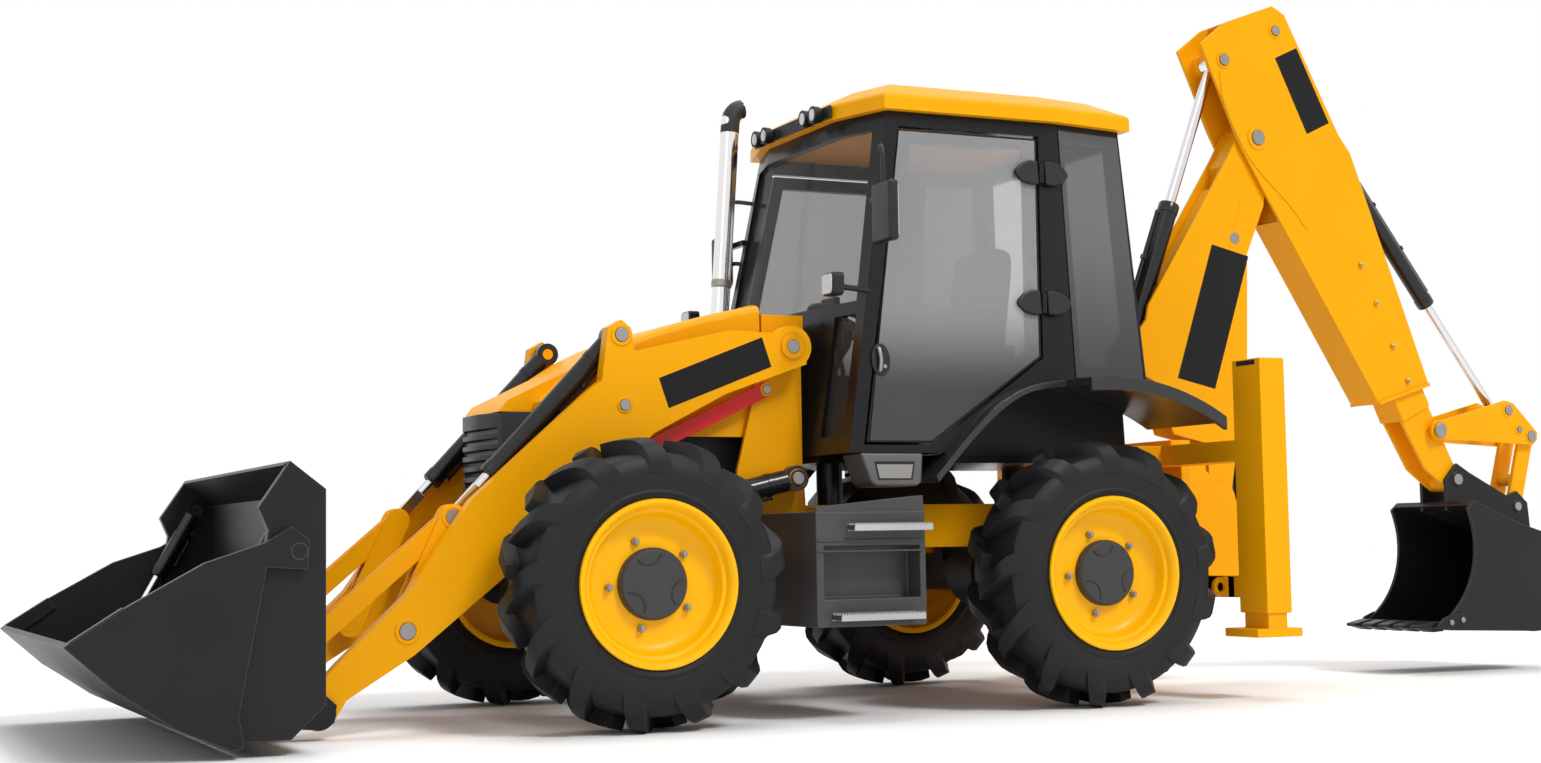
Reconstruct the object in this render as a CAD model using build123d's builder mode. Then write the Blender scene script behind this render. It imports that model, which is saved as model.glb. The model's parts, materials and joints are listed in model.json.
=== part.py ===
"""Backhoe loader with four equal wheels, a two-piece clam shovel and an extending dipper.

Millimetres. While modelling, x runs forward from the rear axle, y to the left and z up from
the ground. Every finished piece is then moved so that the origin lies under the middle of
the machine's length.
"""
from build123d import *
import math
import os

# Wheels and axles
WHEELBASE = 2200.0
TYRE_RADIUS = 602.0
TYRE_HALF_WIDTH = 184.0
TREAD_HALF_WIDTH = 150.0
SHOULDER_RADIUS = 550.0
SHOULDER_HALF_WIDTH = 178.0
RIM_RADIUS = 326.0
RIM_HALF_WIDTH = 186.0
RIM_BARREL_RADIUS = 294.0
WHEEL_FACETS = 24
CARCASS_RADIUS = 540.0
LUGS = 13
LUG_FOOT = 470.0
LUG_LEAN = 84.0
LUG_INNER = 28.0
LUG_OUTER = 46.0
LUG_PAST = 12.0
HUB_CAP_RADIUS = 148.0
HUB_NOTCHES = 3
HUB_NOTCH_RADIUS = 26.0
WHEEL_Y = 930.0
KINGPIN_Y = 745.0
KINGPIN_RADIUS = 30.0
KNUCKLE_RADIUS = 70.0
KNUCKLE_HALF_HEIGHT = 57.0
AXLE_RADIUS = 95.0
HUB_DISC_Y = 985.0
HUB_DISC_THICKNESS = 25.0
HUB_NOTCH_DEPTH = (40.0, 80.0)
HUB_FLANGE_RADIUS = 118.0
HUB_FLANGE_THICKNESS = 30.0
SPINDLE_RADIUS = 52.0
FORK_Y = (600.0, 790.0)
FORK_HALF_LENGTH = 70.0
FORK_HALF_HEIGHT = 92.0
FORK_ROOM = 12.0
KINGPIN_HALF_LENGTH = 80.0
AXLE_PAD_HALF_LENGTH = 80.0
AXLE_BULGE_RADIUS = 165.0
AXLE_BULGE_HALF_WIDTH = 120.0

# Chassis
RAIL_INNER_Y = 300.0
RAIL_OUTER_Y = 390.0
RAIL_BOTTOM = 730.0
RAIL_TOP = 930.0
RAIL_REAR_X = -650.0
RAIL_FRONT_X = 2520.0
TOWER_INNER_Y = 398.0
TOWER_OUTER_Y = 418.0
TOWER_FOOT_X = (1200.0, 1520.0)
TOWER_FOOT_Z = 860.0
BULKHEAD_X = (1205.0, 1235.0)
BULKHEAD_Z = (880.0, 1700.0)
COWL_X = (1180.0, 1390.0)
COWL_BOTTOM_Z = 1690.0
FRONT_BEAM = 90.0
REAR_BEAM = 80.0
TANK_BRACKET = (60.0, 160.0)
TANK_BRACKET_Z = (760.0, 850.0)
STRUT_HALF_WIDTH = 32.0
STRUT_PIN_RADIUS = 20.0
ENGINE_X = (1330.0, 2180.0)
ENGINE_HALF_WIDTH = 260.0
ENGINE_Z = (790.0, 1480.0)
ENGINE_MOUNT_X = (1500.0, 2000.0)
ENGINE_MOUNT_TOP = 890.0
STRUT_INNER_Y = 421.0
STRUT_OUTER_Y = 449.0
BONNET_HALF_WIDTH = 380.0
TOW_EYE_RADIUS = 20.0
TOW_EYE_OUTER = 55.0
TOW_EYE_X = 2575.0
TOW_EYE_Z = (800.0, 835.0)
TIE_LUG_RADIUS = 22.0
TIE_LUG = (-755.0, 520.0)
TIE_LUG_Y = (860.0, 885.0)

# Loader: pins seen from the side as (x, z)
ARM_PIVOT = (1320.0, 1638.0)
LIFT_BASE = (1295.0, 1048.0)
LIFT_PIN = (2470.0, 785.0)
TILT_BASE = (2140.0, 1669.0)
LEVER_PIVOT = (3090.0, 424.0)
LEVER_TOP = (2870.0, 890.0)
SHOVEL_PIVOT = (3455.0, 110.0)
SHOVEL_LINK = (3470.0, 380.0)
CLAM_PIVOT = (3669.0, 758.0)
CLAM_RAM_BASE = (3660.0, 960.0)
CLAM_RAM_PIN = (3960.0, 420.0)
SHOVEL_LIP = (4505.0, 430.0)
ARM_CROSS_TUBE = (2800.0, 665.0)
LIFT_POCKET = 132.0
LIFT_RELIEF = ((2524.0, 829.0), (2245.0, 938.0))
STRUT_TOP = (1400.0, 1452.0)
STRUT_END = (2250.0, 1060.0)
ARM_INNER_Y = 485.0
ARM_OUTER_Y = 555.0
LIFT_Y = 505.0
TILT_Y = 435.0
SHOVEL_HALF_WIDTH = 1175.0
CLAM_SIDE_THICKNESS = 40.0
CLAM_SIDE_GAP = 5.0
BLADE_SIDE_THICKNESS = 45.0
CLAM_RAM_STAND_OFF = 40.0
CLAM_SIDE_INNER_Y = SHOVEL_HALF_WIDTH - CLAM_SIDE_THICKNESS
BLADE_SIDE_OUTER_Y = CLAM_SIDE_INNER_Y - CLAM_SIDE_GAP
BLADE_SIDE_INNER_Y = BLADE_SIDE_OUTER_Y - BLADE_SIDE_THICKNESS
CLAM_RAM_Y = BLADE_SIDE_INNER_Y - CLAM_RAM_STAND_OFF
LIFT_EYE = 58.0
TILT_EYE = 52.0
LIFT_BORE = 50.0
LIFT_ROD = 30.0
TILT_BORE = 42.0
TILT_ROD = 24.0
CLAM_BORE = 34.0
CLAM_ROD = 19.0
LEVER_PIN_RADIUS = 20.0
LEVER_BUSH_RADIUS = 30.0
LEVER_HALF_WIDTH = 55.0
LEVER_HUB_RADIUS = 48.0
LEVER_CHEEKS = ((390.0, 405.0), (460.0, 475.0))
LEVER_COLLAR_RADIUS = 50.0
LINK_HALF_WIDTH = 42.0
LINK_WEB_HALF_WIDTH = 30.0
LINK_WEB_SHARE = (0.45, 0.75)
LINK_CHEEKS = ((-29.5, -14.0), (14.0, 24.5))
ARM_PIN_RADIUS = 40.0
ARM_PIN_COLLAR = 62.0
ARM_PIN_CAP = 58.0
ARM_BOSS = 95.0
PIN_CAP_THICKNESS = 12.0
SHOVEL_PIN_RADIUS = 35.0
SHOVEL_BOSS = 72.0
SHOVEL_EAR_BOSS = 68.0
SHOVEL_EARS = ((465.0, 480.0), (560.0, 575.0))
CROSS_TUBE_RADIUS = 62.0
LIFT_PIN_RADIUS = 30.0
LIFT_EYE_WIDTH = 54.0
LIFT_PIN_CAP = 10.0
LIFT_EAR_THICKNESS = 20.0
LIFT_SLOT = 30.0
LIFT_RELIEF_ROOM = 16.0
LIFT_BARREL = 1000.0
LIFT_ROD_START = 120.0
LIFT_ROD_EYE = 55.0
LIFT_ROD_EYE_WIDTH = 59.0
TILT_PIN_RADIUS = 25.0
TILT_EYE_WIDTH = 54.0
TILT_BARREL = 825.0
TILT_ROD_START = 120.0
TILT_ROD_EYE = 45.0
TILT_ROD_EYE_WIDTH = 27.0
TILT_TANG = 170.0
CLAM_PIN_RADIUS = 30.0
CLAM_BOSS = 70.0
CLAM_RAM_PIN_RADIUS = 20.0
CLAM_RAM_BOSS = 30.0
CLAM_EYE = 38.0
CLAM_EYE_WIDTH = 40.0
CLAM_BARREL = 350.0
CLAM_ROD_START = 270.0
CLAM_ROD_EYE = 36.0

# Cab: plan corners at the floor and under the roof as (x, half width)
CAB_FLOOR_Z = 1150.0
CAB_TOP_Z = 2720.0
CAB_FLOOR_PLAN = ((1185.0, 400.0), (1185.0, 830.0), (70.0, 840.0), (-500.0, 740.0))
CAB_TOP_PLAN = ((985.0, 360.0), (885.0, 685.0), (0.0, 690.0), (-420.0, 620.0))
CAB_WALL = 45.0
GLASS_INSET = 18.0
GLASS_THICKNESS = 8.0
CAB_TUB_HALF_WIDTH = 500.0
CAB_FLOOR_THICKNESS = 18.0
CAB_FLOOR_X = (705.0, 1165.0)
CAB_FLOOR_HALF_WIDTH = 790.0
CAB_TUB_REAR_X = -480.0
CAB_TUB_SHEET = 20.0
CAB_TUB_DROP = 30.0
CAB_FOOT_X = (1040.0, -380.0)
CAB_FOOT_Y = 345.0
CAB_FOOT_RADIUS = 60.0
MIRROR_ARM_X = (962.0, 990.0)
MIRROR_ARM_Y = (690.0, 900.0)
MIRROR_ARM_Z = (2280.0, 2308.0)
ROOF_TOP_Z = 2870.0
STEERING_RADIUS = 190.0
STEERING_GRIP = 15.0
ROOF_BRIM_Z = 2790.0
ROOF_OVERHANG = 45.0
LAMP_RADIUS = 34.0
LAMP_DEPTH = 55.0
LAMP_FRONT_Y = (215.0, 320.0)
LAMP_REAR_Y = (300.0, 430.0)
ROOF_ROUNDING = 26.0
MIRROR_ROUNDING = 18.0
DOOR_GAP = 12.0
DOOR_FRAME = 60.0
HINGE_STAND = 18.0
HINGE_KNUCKLE_RADIUS = 14.0
HINGE_PIN_RADIUS = 8.0
HINGE_LENGTH = 45.0
HINGE_LEAF = ((0, -14), (14, -14), (14, -24), (70, -24), (70, -10), (0, -10))
HINGE_LEVELS = (1800.0, 2420.0)
FENDER_OUTER_Y = 1130.0
FENDER_FRONT_Y = 920.0
FENDER_CREST_X = 300.0
FENDER_CUT = ((110.0, 900.0), (900.0, 1600.0))
FENDER_SHEET = 28.0
FENDER_LIP = 22.0
FENDER_LIP_DROP = 62.0

# Bonnet and nose
BONNET_HINGE = (1378.0, 1838.0)
BONNET_PIN_RADIUS = 10.0
BONNET_LUG_RADIUS = 20.0
BONNET_LUG_Y = (180.0, 220.0)
BONNET_TONGUE_Y = (221.0, 265.0)
BONNET_TONGUE_END = (1430.0, 1826.0)
BONNET_TONGUE_RADIUS = 18.0
COWL_TOP_Z = 1800.0
EXHAUST_Y = -300.0
EXHAUST_ROUTE = ((1300.0, 1805.0), (1225.0, 2800.0), (1211.0, 2862.0), (1160.0, 2898.0))
EXHAUST_RADIUS = 45.0
EXHAUST_COLLAR = (55.0, 40.0)
BONNET_REAR_X = 1400.0
BONNET_WALL = 12.0
BONNET_ROUNDING = 38.0
NOSE_BOTTOM_Z = 930.0
NOSE_HOLLOW_REAR = ((2300.0, 2400.0), (-340.0, 340.0))
NOSE_HOLLOW_FRONT = ((2390.0, 2560.0), (-230.0, 230.0))
BONNET_NOSE_HALF_WIDTH = 260.0
NOSE_TOP_Z = 1345.0
LOUVRES = 7
LOUVRE_PITCH = 46.0
LOUVRE_START = 50.0
LOUVRE_X = (2595.0, 2700.0)
LOUVRE_Y = (-240.0, 240.0)

# Side tanks with their steps
TANK_FRONT_X = 1460.0
TANK_REAR_X = 930.0
TANK_INNER_Y = 420.0
TANK_OUTER_Y = 1040.0
TANK_BOTTOM_Z = 400.0
TANK_TOP_Z = 890.0
STEP_RECESS = 110.0
STEP_RECESS_X = (960.0, 1420.0)
STEP_RECESS_Z = (520.0, 740.0)
LOWER_TREAD = ((987.0, 1392.0), 90.0, (430.0, 455.0))
UPPER_TREAD = ((930.0, 1312.0), 70.0, (808.0, 833.0))

# Rear frame and stabiliser legs
FRAME_FRONT_X = -790.0
FRAME_REAR_X = -950.0
FRAME_HALF_WIDTH = 970.0
UPPER_RAIL = (1110.0, 1210.0)
LOWER_RAIL = (470.0, 570.0)
LEG_X = (-930.0, -790.0)
LEG_Y = (970.0, 1175.0)
LEG_Z = (400.0, 1585.0)
LEG_WALL = 14.0
LEG_HEAD_ROOM = 60.0
FOOT_SPREAD = 60.0
FOOT_INBOARD = 40.0
TIE_LUG_OUTER = 45.0
FOOT_Z = (290.0, 330.0)
RUNNING_GAP = 0.5

# Excavator end
SLEW_X = -1160.0
SLEW_PIN_RADIUS = 45.0
SLEW_POST_RADIUS = 88.0
SLEW_EAR_RADIUS = 90.0
KING_CHEEK = 24.0
KING_BACK = 102.0
BOOM_PIN_RADIUS = 42.0
BOOM_BOSS = 88.0
BOOM_EAR_BOSS = 85.0
BOOM_TUBE = 75.0
BOOM_RAM_PIN_RADIUS = 32.0
BOOM_RAM_EYE = 60.0
BOOM_RAM_EYE_WIDTH = 80.0
BOOM_RAM_BOSS = 70.0
BOOM_RAM_BARREL = 870.0
BOOM_RAM_ROD_START = 780.0
BOOM_RAM_ROD_EYE = 62.0
DIPPER_PIN_RADIUS = 40.0
DIPPER_BOSS = 95.0
DIPPER_TUBE = 80.0
DIPPER_RAM_PIN_RADIUS = 30.0
DIPPER_RAM_EYE = 58.0
DIPPER_RAM_EYE_WIDTH = 76.0
DIPPER_RAM_BOSS = 66.0
DIPPER_RAM_BARREL = 860.0
DIPPER_RAM_ROD_START = 790.0
BUCKET_RAM_PIN_RADIUS = 28.0
BUCKET_RAM_EYE = 52.0
BUCKET_RAM_EYE_WIDTH = 92.0
BUCKET_RAM_BARREL = 930.0
BUCKET_RAM_ROD_START = 760.0
BUCKET_RAM_ROD_EYE = 48.0
BUCKET_RAM_ROD_EYE_WIDTH = 70.0
BUCKET_RAM_EAR_Y = 62.0
BUCKET_LEVER_PIN = 30.0
BUCKET_LEVER_Y = (100.0, 118.0)
BUCKET_LEVER_BOSS = 55.0
BUCKET_LEVER_RAM_BOSS = 44.0
BUCKET_LEVER_AXLE_END = 130.0
BUCKET_LINK_PIN_RADIUS = 28.0
BUCKET_LINK_HALF_WIDTH = 50.0
BUCKET_LINK_BRIDGE = 34.0
BUCKET_LINK_BRIDGE_SHARE = 0.62
BUCKET_PIN_RADIUS = 34.0
BUCKET_BOSS = 66.0
DIPPER_NOSE_Y = (60.0, 78.0)
BUCKET_EAR_Y = (84.0, 104.0)
BUCKET_TEETH_Y = (-250.0, -125.0, 0.0, 125.0, 250.0)
BUCKET_TOOTH_HALF_WIDTH = 35.0
BOOM_PIVOT = (-1360.0, 950.0)
BOOM_RAM_BASE = (-1600.0, 620.0)
BOOM_RAM_PIN = (-1520.0, 2329.0)
DIPPER_PIVOT = (-1674.0, 2873.0)
DIPPER_RAM_BASE = (-860.0, 1700.0)
DIPPER_RAM_PIN = (-1467.0, 3277.0)
BUCKET_RAM_BASE = (-2325.0, 2763.0)
BUCKET_LEVER_PIVOT = (-2844.0, 1321.0)
BUCKET_LEVER_RAM = (-3354.0, 1438.0)
BUCKET_LEVER_LINK = (-3518.0, 1293.0)
BUCKET_PIVOT = (-2974.0, 1051.0)
BUCKET_LINK_PIN = (-3405.0, 899.0)
BUCKET_BACK_X = -3625.0
SLIDE_POINT = (-2700.0, 1540.0)
SLIDE_ANGLE = 244.5
BOOM_INNER_Y = 68.0
BOOM_OUTER_Y = 85.0
DIPPER_INNER_Y = 92.0
DIPPER_OUTER_Y = 110.0
BUCKET_HALF_WIDTH = 305.0
BUCKET_PLATE = 18.0
BUCKET_LINK_Y = (55.0, 83.5)
BOOM_RAM_BORE = 55.0
BOOM_RAM_ROD = 30.0
DIPPER_RAM_BORE = 52.0
DIPPER_RAM_ROD = 28.0
BUCKET_RAM_BORE = 45.0
BUCKET_RAM_ROD = 25.0

# Fits
PIN_CLEARANCE = 0.3
TUBE_START = 0.85
COLLAR_SHARE = 0.72
ROD_CLEARANCE = 0.3
WELD = 5.0
ORIGIN_X = (SHOVEL_LIP[0] + BUCKET_BACK_X) / 2

os.makedirs("parts", exist_ok=True)


# Shared shapes
def plate(points, y0, y1, mode=Mode.ADD):
    """A flat plate with the given side outline, from y0 to y1."""
    with BuildSketch(Plane.XZ.offset(-y1)) as outline:
        with BuildLine():
            Polyline(*points, close=True)
        make_face()
    extrude(outline.sketch, amount=y1 - y0, mode=mode)


def contour(start, runs, y0, y1, mode=Mode.ADD):
    """A plate whose outline runs straight to a point, or in an arc over a pair of middle and end."""
    with BuildSketch(Plane.XZ.offset(-y1)) as outline:
        with BuildLine():
            here = start
            for run in runs:
                if isinstance(run[0], tuple):
                    ThreePointArc(here, *run)
                    here = run[1]
                else:
                    Line(here, run)
                    here = run
            Line(here, start)
        make_face()
    extrude(outline.sketch, amount=y1 - y0, mode=mode)


def pole(start, end, radius, mode=Mode.ADD):
    """A round bar between two points in space."""
    span = Vector(*end) - Vector(*start)
    with BuildSketch(Plane(origin=start, z_dir=span)) as outline:
        Circle(radius)
    extrude(outline.sketch, amount=span.length, mode=mode)


def disc(centre, radius, y0, y1, mode=Mode.ADD):
    """A round boss, pin or hole across the machine, from y0 to y1."""
    with BuildSketch(Plane.XZ.offset(-y1)) as outline:
        with Locations(centre):
            Circle(radius)
    extrude(outline.sketch, amount=y1 - y0, mode=mode)


def block(x, y, z, mode=Mode.ADD):
    """A box between pairs of limits along each axis."""
    with BuildSketch(Plane.XY.offset(z[0])) as outline:
        with Locations(((x[0] + x[1]) / 2, (y[0] + y[1]) / 2)):
            Rectangle(x[1] - x[0], y[1] - y[0])
    extrude(outline.sketch, amount=z[1] - z[0], mode=mode)


def post(x, y, radius, z0, z1, mode=Mode.ADD):
    """An upright round bar or hole."""
    with BuildSketch(Plane.XY.offset(z0)) as outline:
        with Locations((x, y)):
            Circle(radius)
    extrude(outline.sketch, amount=z1 - z0, mode=mode)


def along(start, end, y):
    """A plane across the line from start to end, both seen from the side."""
    direction = (end[0] - start[0], 0, end[1] - start[1])
    return Plane(origin=(start[0], y, start[1]), x_dir=(0, 1, 0), z_dir=direction)


def bar(start, end, y, radius, begin, finish, mode=Mode.ADD):
    """A round bar on the line from start to end, between two distances from start."""
    with BuildSketch(along(start, end, y).offset(begin)) as outline:
        Circle(radius)
    extrude(outline.sketch, amount=finish - begin, mode=mode)


def distance(start, end):
    return math.hypot(end[0] - start[0], end[1] - start[1])


def beyond(start, end, length, side=0.0):
    """The point at a length along the line from start to end, moved sideways to its left."""
    span = distance(start, end)
    ux = (end[0] - start[0]) / span
    uz = (end[1] - start[1]) / span
    return (start[0] + ux * length - uz * side, start[1] + uz * length + ux * side)


def strip(start, end, half, y0, y1, mode=Mode.ADD):
    """A straight lever plate with round ends over two pins."""
    span = distance(start, end)
    corners = [
        beyond(start, end, 0, half),
        beyond(start, end, span, half),
        beyond(start, end, span, -half),
        beyond(start, end, 0, -half),
    ]
    plate(corners, y0, y1, mode)
    disc(start, half, y0, y1, mode)
    disc(end, half, y0, y1, mode)


def facets(radius, y0, y1, mode=Mode.ADD):
    """A many-sided wheel disc about the y axis, with a flat at the bottom."""
    with BuildSketch(Plane.XZ.offset(-y1)) as outline:
        RegularPolygon(radius, WHEEL_FACETS, major_radius=False, rotation=180 / WHEEL_FACETS)
    extrude(outline.sketch, amount=y1 - y0, mode=mode)


def drum(sections):
    """A many-sided body about the y axis through (radius, y) sections, with a flat at the bottom."""
    rings = []
    for radius, y in sections:
        with BuildSketch(Plane.XZ.offset(-y)) as ring:
            RegularPolygon(radius, WHEEL_FACETS, major_radius=False, rotation=180 / WHEEL_FACETS)
        rings.append(ring.sketch.face())
    loft(rings, ruled=True)


def barrel(start, end, y, bore, rod, length, eye_radius, eye_width, pin_radius):
    """A ram's tube with its base eye, bored for the rod."""
    bar(start, end, y, bore, eye_radius * TUBE_START, length)
    disc(start, eye_radius, y - eye_width / 2, y + eye_width / 2)
    disc(start, pin_radius + PIN_CLEARANCE, y - eye_width / 2, y + eye_width / 2, Mode.SUBTRACT)
    bar(start, end, y, rod + ROD_CLEARANCE, eye_radius + 10, length, Mode.SUBTRACT)


def rod(start, end, y, radius, inner_end, eye_radius, eye_width, tang=0.0):
    """A ram's rod with the eye at its free end, flattened there over the length of tang."""
    span = distance(start, end)
    bar(start, end, y, radius, inner_end, span - tang)
    disc(end, eye_radius, y - eye_width / 2, y + eye_width / 2)
    if tang:
        strip(beyond(start, end, span - tang), end, radius, y - eye_width / 2, y + eye_width / 2)


def keep(part, name):
    """Labels a finished piece, moves it to the machine's origin and writes it."""
    placed = part.moved(Location((-ORIGIN_X, 0, 0)))
    placed.label = name
    export_step(placed, f"parts/{name}.step")


# Wheels: one set modelled at the rear left and moved or mirrored to the other corners
CARCASS = ((345, 168), (450, TYRE_HALF_WIDTH), (CARCASS_RADIUS, 140))
with BuildPart() as tyre:
    drum(((SHOULDER_RADIUS, SHOULDER_HALF_WIDTH), (TYRE_RADIUS, TREAD_HALF_WIDTH),
          (TYRE_RADIUS, -TREAD_HALF_WIDTH), (SHOULDER_RADIUS, -SHOULDER_HALF_WIDTH)))
    with BuildPart(mode=Mode.PRIVATE) as lugs:
        for row in (1, -1):
            for count in range(LUGS):
                turn = math.radians(360 / LUGS * (count + row / 4))
                outward = (math.sin(turn), 0, math.cos(turn))
                forward = (math.cos(turn), 0, -math.sin(turn))
                tangent = Plane(origin=(0, 0, 0), x_dir=forward, z_dir=outward).offset(LUG_FOOT)
                with BuildSketch(tangent) as lug:
                    with BuildLine():
                        Polyline((LUG_LEAN - LUG_INNER, -row * LUG_PAST),
                                 (LUG_LEAN + LUG_INNER, -row * LUG_PAST),
                                 (-LUG_LEAN + LUG_OUTER, row * TYRE_HALF_WIDTH),
                                 (-LUG_LEAN - LUG_OUTER, row * TYRE_HALF_WIDTH), close=True)
                    make_face()
                extrude(lug.sketch, amount=TYRE_RADIUS - LUG_FOOT + 8 * WELD)
    add(lugs.part, mode=Mode.INTERSECT)
    drum(CARCASS + tuple((radius, -y) for radius, y in reversed(CARCASS)))
    facets(RIM_RADIUS, -TYRE_HALF_WIDTH, TYRE_HALF_WIDTH, Mode.SUBTRACT)

HUB_INNER = HUB_DISC_Y - WHEEL_Y
HUB_OUTER = HUB_INNER + HUB_DISC_THICKNESS
RIM = ((0, HUB_INNER), (RIM_BARREL_RADIUS, HUB_INNER), (RIM_BARREL_RADIUS, -RIM_HALF_WIDTH),
       (RIM_RADIUS, -RIM_HALF_WIDTH), (RIM_RADIUS, 168), (344, 172), (344, RIM_HALF_WIDTH),
       (322, RIM_HALF_WIDTH),
       (308, 150), (290, 144), (284, 108), (262, 90), (205, HUB_OUTER), (186, HUB_OUTER + 16),
       (HUB_CAP_RADIUS, HUB_OUTER + 16), (HUB_CAP_RADIUS, HUB_OUTER + 52), (130, HUB_OUTER + 64),
       (0, HUB_OUTER + 68))
with BuildPart() as rim:
    with BuildSketch(Plane.XY) as section:
        with BuildLine():
            Polyline(*RIM, close=True)
        make_face()
    revolve(section.sketch, axis=Axis.Y)
    for count in range(HUB_NOTCHES):
        turn = math.radians(360 / HUB_NOTCHES * count)
        notch = (HUB_CAP_RADIUS * math.sin(turn), HUB_CAP_RADIUS * math.cos(turn))
        disc(notch, HUB_NOTCH_RADIUS, *[HUB_OUTER + depth for depth in HUB_NOTCH_DEPTH], Mode.SUBTRACT)

with BuildPart() as knuckle:
    post(0, KINGPIN_Y, KNUCKLE_RADIUS, -KNUCKLE_HALF_HEIGHT, KNUCKLE_HALF_HEIGHT)
    disc((0, 0), SPINDLE_RADIUS, KINGPIN_Y, HUB_DISC_Y - RUNNING_GAP)
    disc((0, 0), HUB_FLANGE_RADIUS, HUB_DISC_Y - HUB_FLANGE_THICKNESS, HUB_DISC_Y - RUNNING_GAP)
    post(0, KINGPIN_Y, KINGPIN_RADIUS + PIN_CLEARANCE, -KNUCKLE_HALF_HEIGHT, KNUCKLE_HALF_HEIGHT,
         Mode.SUBTRACT)

for corner, axle_x, side in (
    ("front_left", WHEELBASE, 1), ("front_right", WHEELBASE, -1),
    ("rear_left", 0.0, 1), ("rear_right", 0.0, -1),
):
    hub = Location((axle_x, side * WHEEL_Y, TYRE_RADIUS))
    wheel_rim = rim.part if side > 0 else rim.part.mirror(Plane.XZ)
    upright = knuckle.part if side > 0 else knuckle.part.mirror(Plane.XZ)
    keep(tyre.part.moved(hub), f"tyre_{corner}")
    keep(wheel_rim.moved(hub), f"rim_{corner}")
    keep(upright.moved(Location((axle_x, 0, TYRE_RADIUS))), f"knuckle_{corner}")

# Axles: a round beam, forked ends with kingpins, pads up to the rails
with BuildPart() as axle:
    disc((0, 0), AXLE_RADIUS, -FORK_Y[0], FORK_Y[0])
    disc((0, 0), AXLE_BULGE_RADIUS, -AXLE_BULGE_HALF_WIDTH, AXLE_BULGE_HALF_WIDTH)
    for side in (1, -1):
        ends = sorted((side * FORK_Y[0], side * FORK_Y[1]))
        block((-FORK_HALF_LENGTH, FORK_HALF_LENGTH), ends, (-FORK_HALF_HEIGHT, FORK_HALF_HEIGHT))
        gap = sorted((side * (KINGPIN_Y - KNUCKLE_RADIUS - FORK_ROOM), side * FORK_Y[1]))
        block((-FORK_HALF_LENGTH - WELD, FORK_HALF_LENGTH + WELD), gap,
              (-KNUCKLE_HALF_HEIGHT - RUNNING_GAP, KNUCKLE_HALF_HEIGHT + RUNNING_GAP), Mode.SUBTRACT)
        post(0, side * KINGPIN_Y, KINGPIN_RADIUS, -KINGPIN_HALF_LENGTH, KINGPIN_HALF_LENGTH)
        pad = sorted((side * RAIL_INNER_Y, side * RAIL_OUTER_Y))
        block((-AXLE_PAD_HALF_LENGTH, AXLE_PAD_HALF_LENGTH), pad, (0, RAIL_BOTTOM - TYRE_RADIUS))
with BuildPart() as axles:
    add(axle.part.moved(Location((0, 0, TYRE_RADIUS))))
    add(axle.part.moved(Location((WHEELBASE, 0, TYRE_RADIUS))))
keep(axles.part, "axles")

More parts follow.
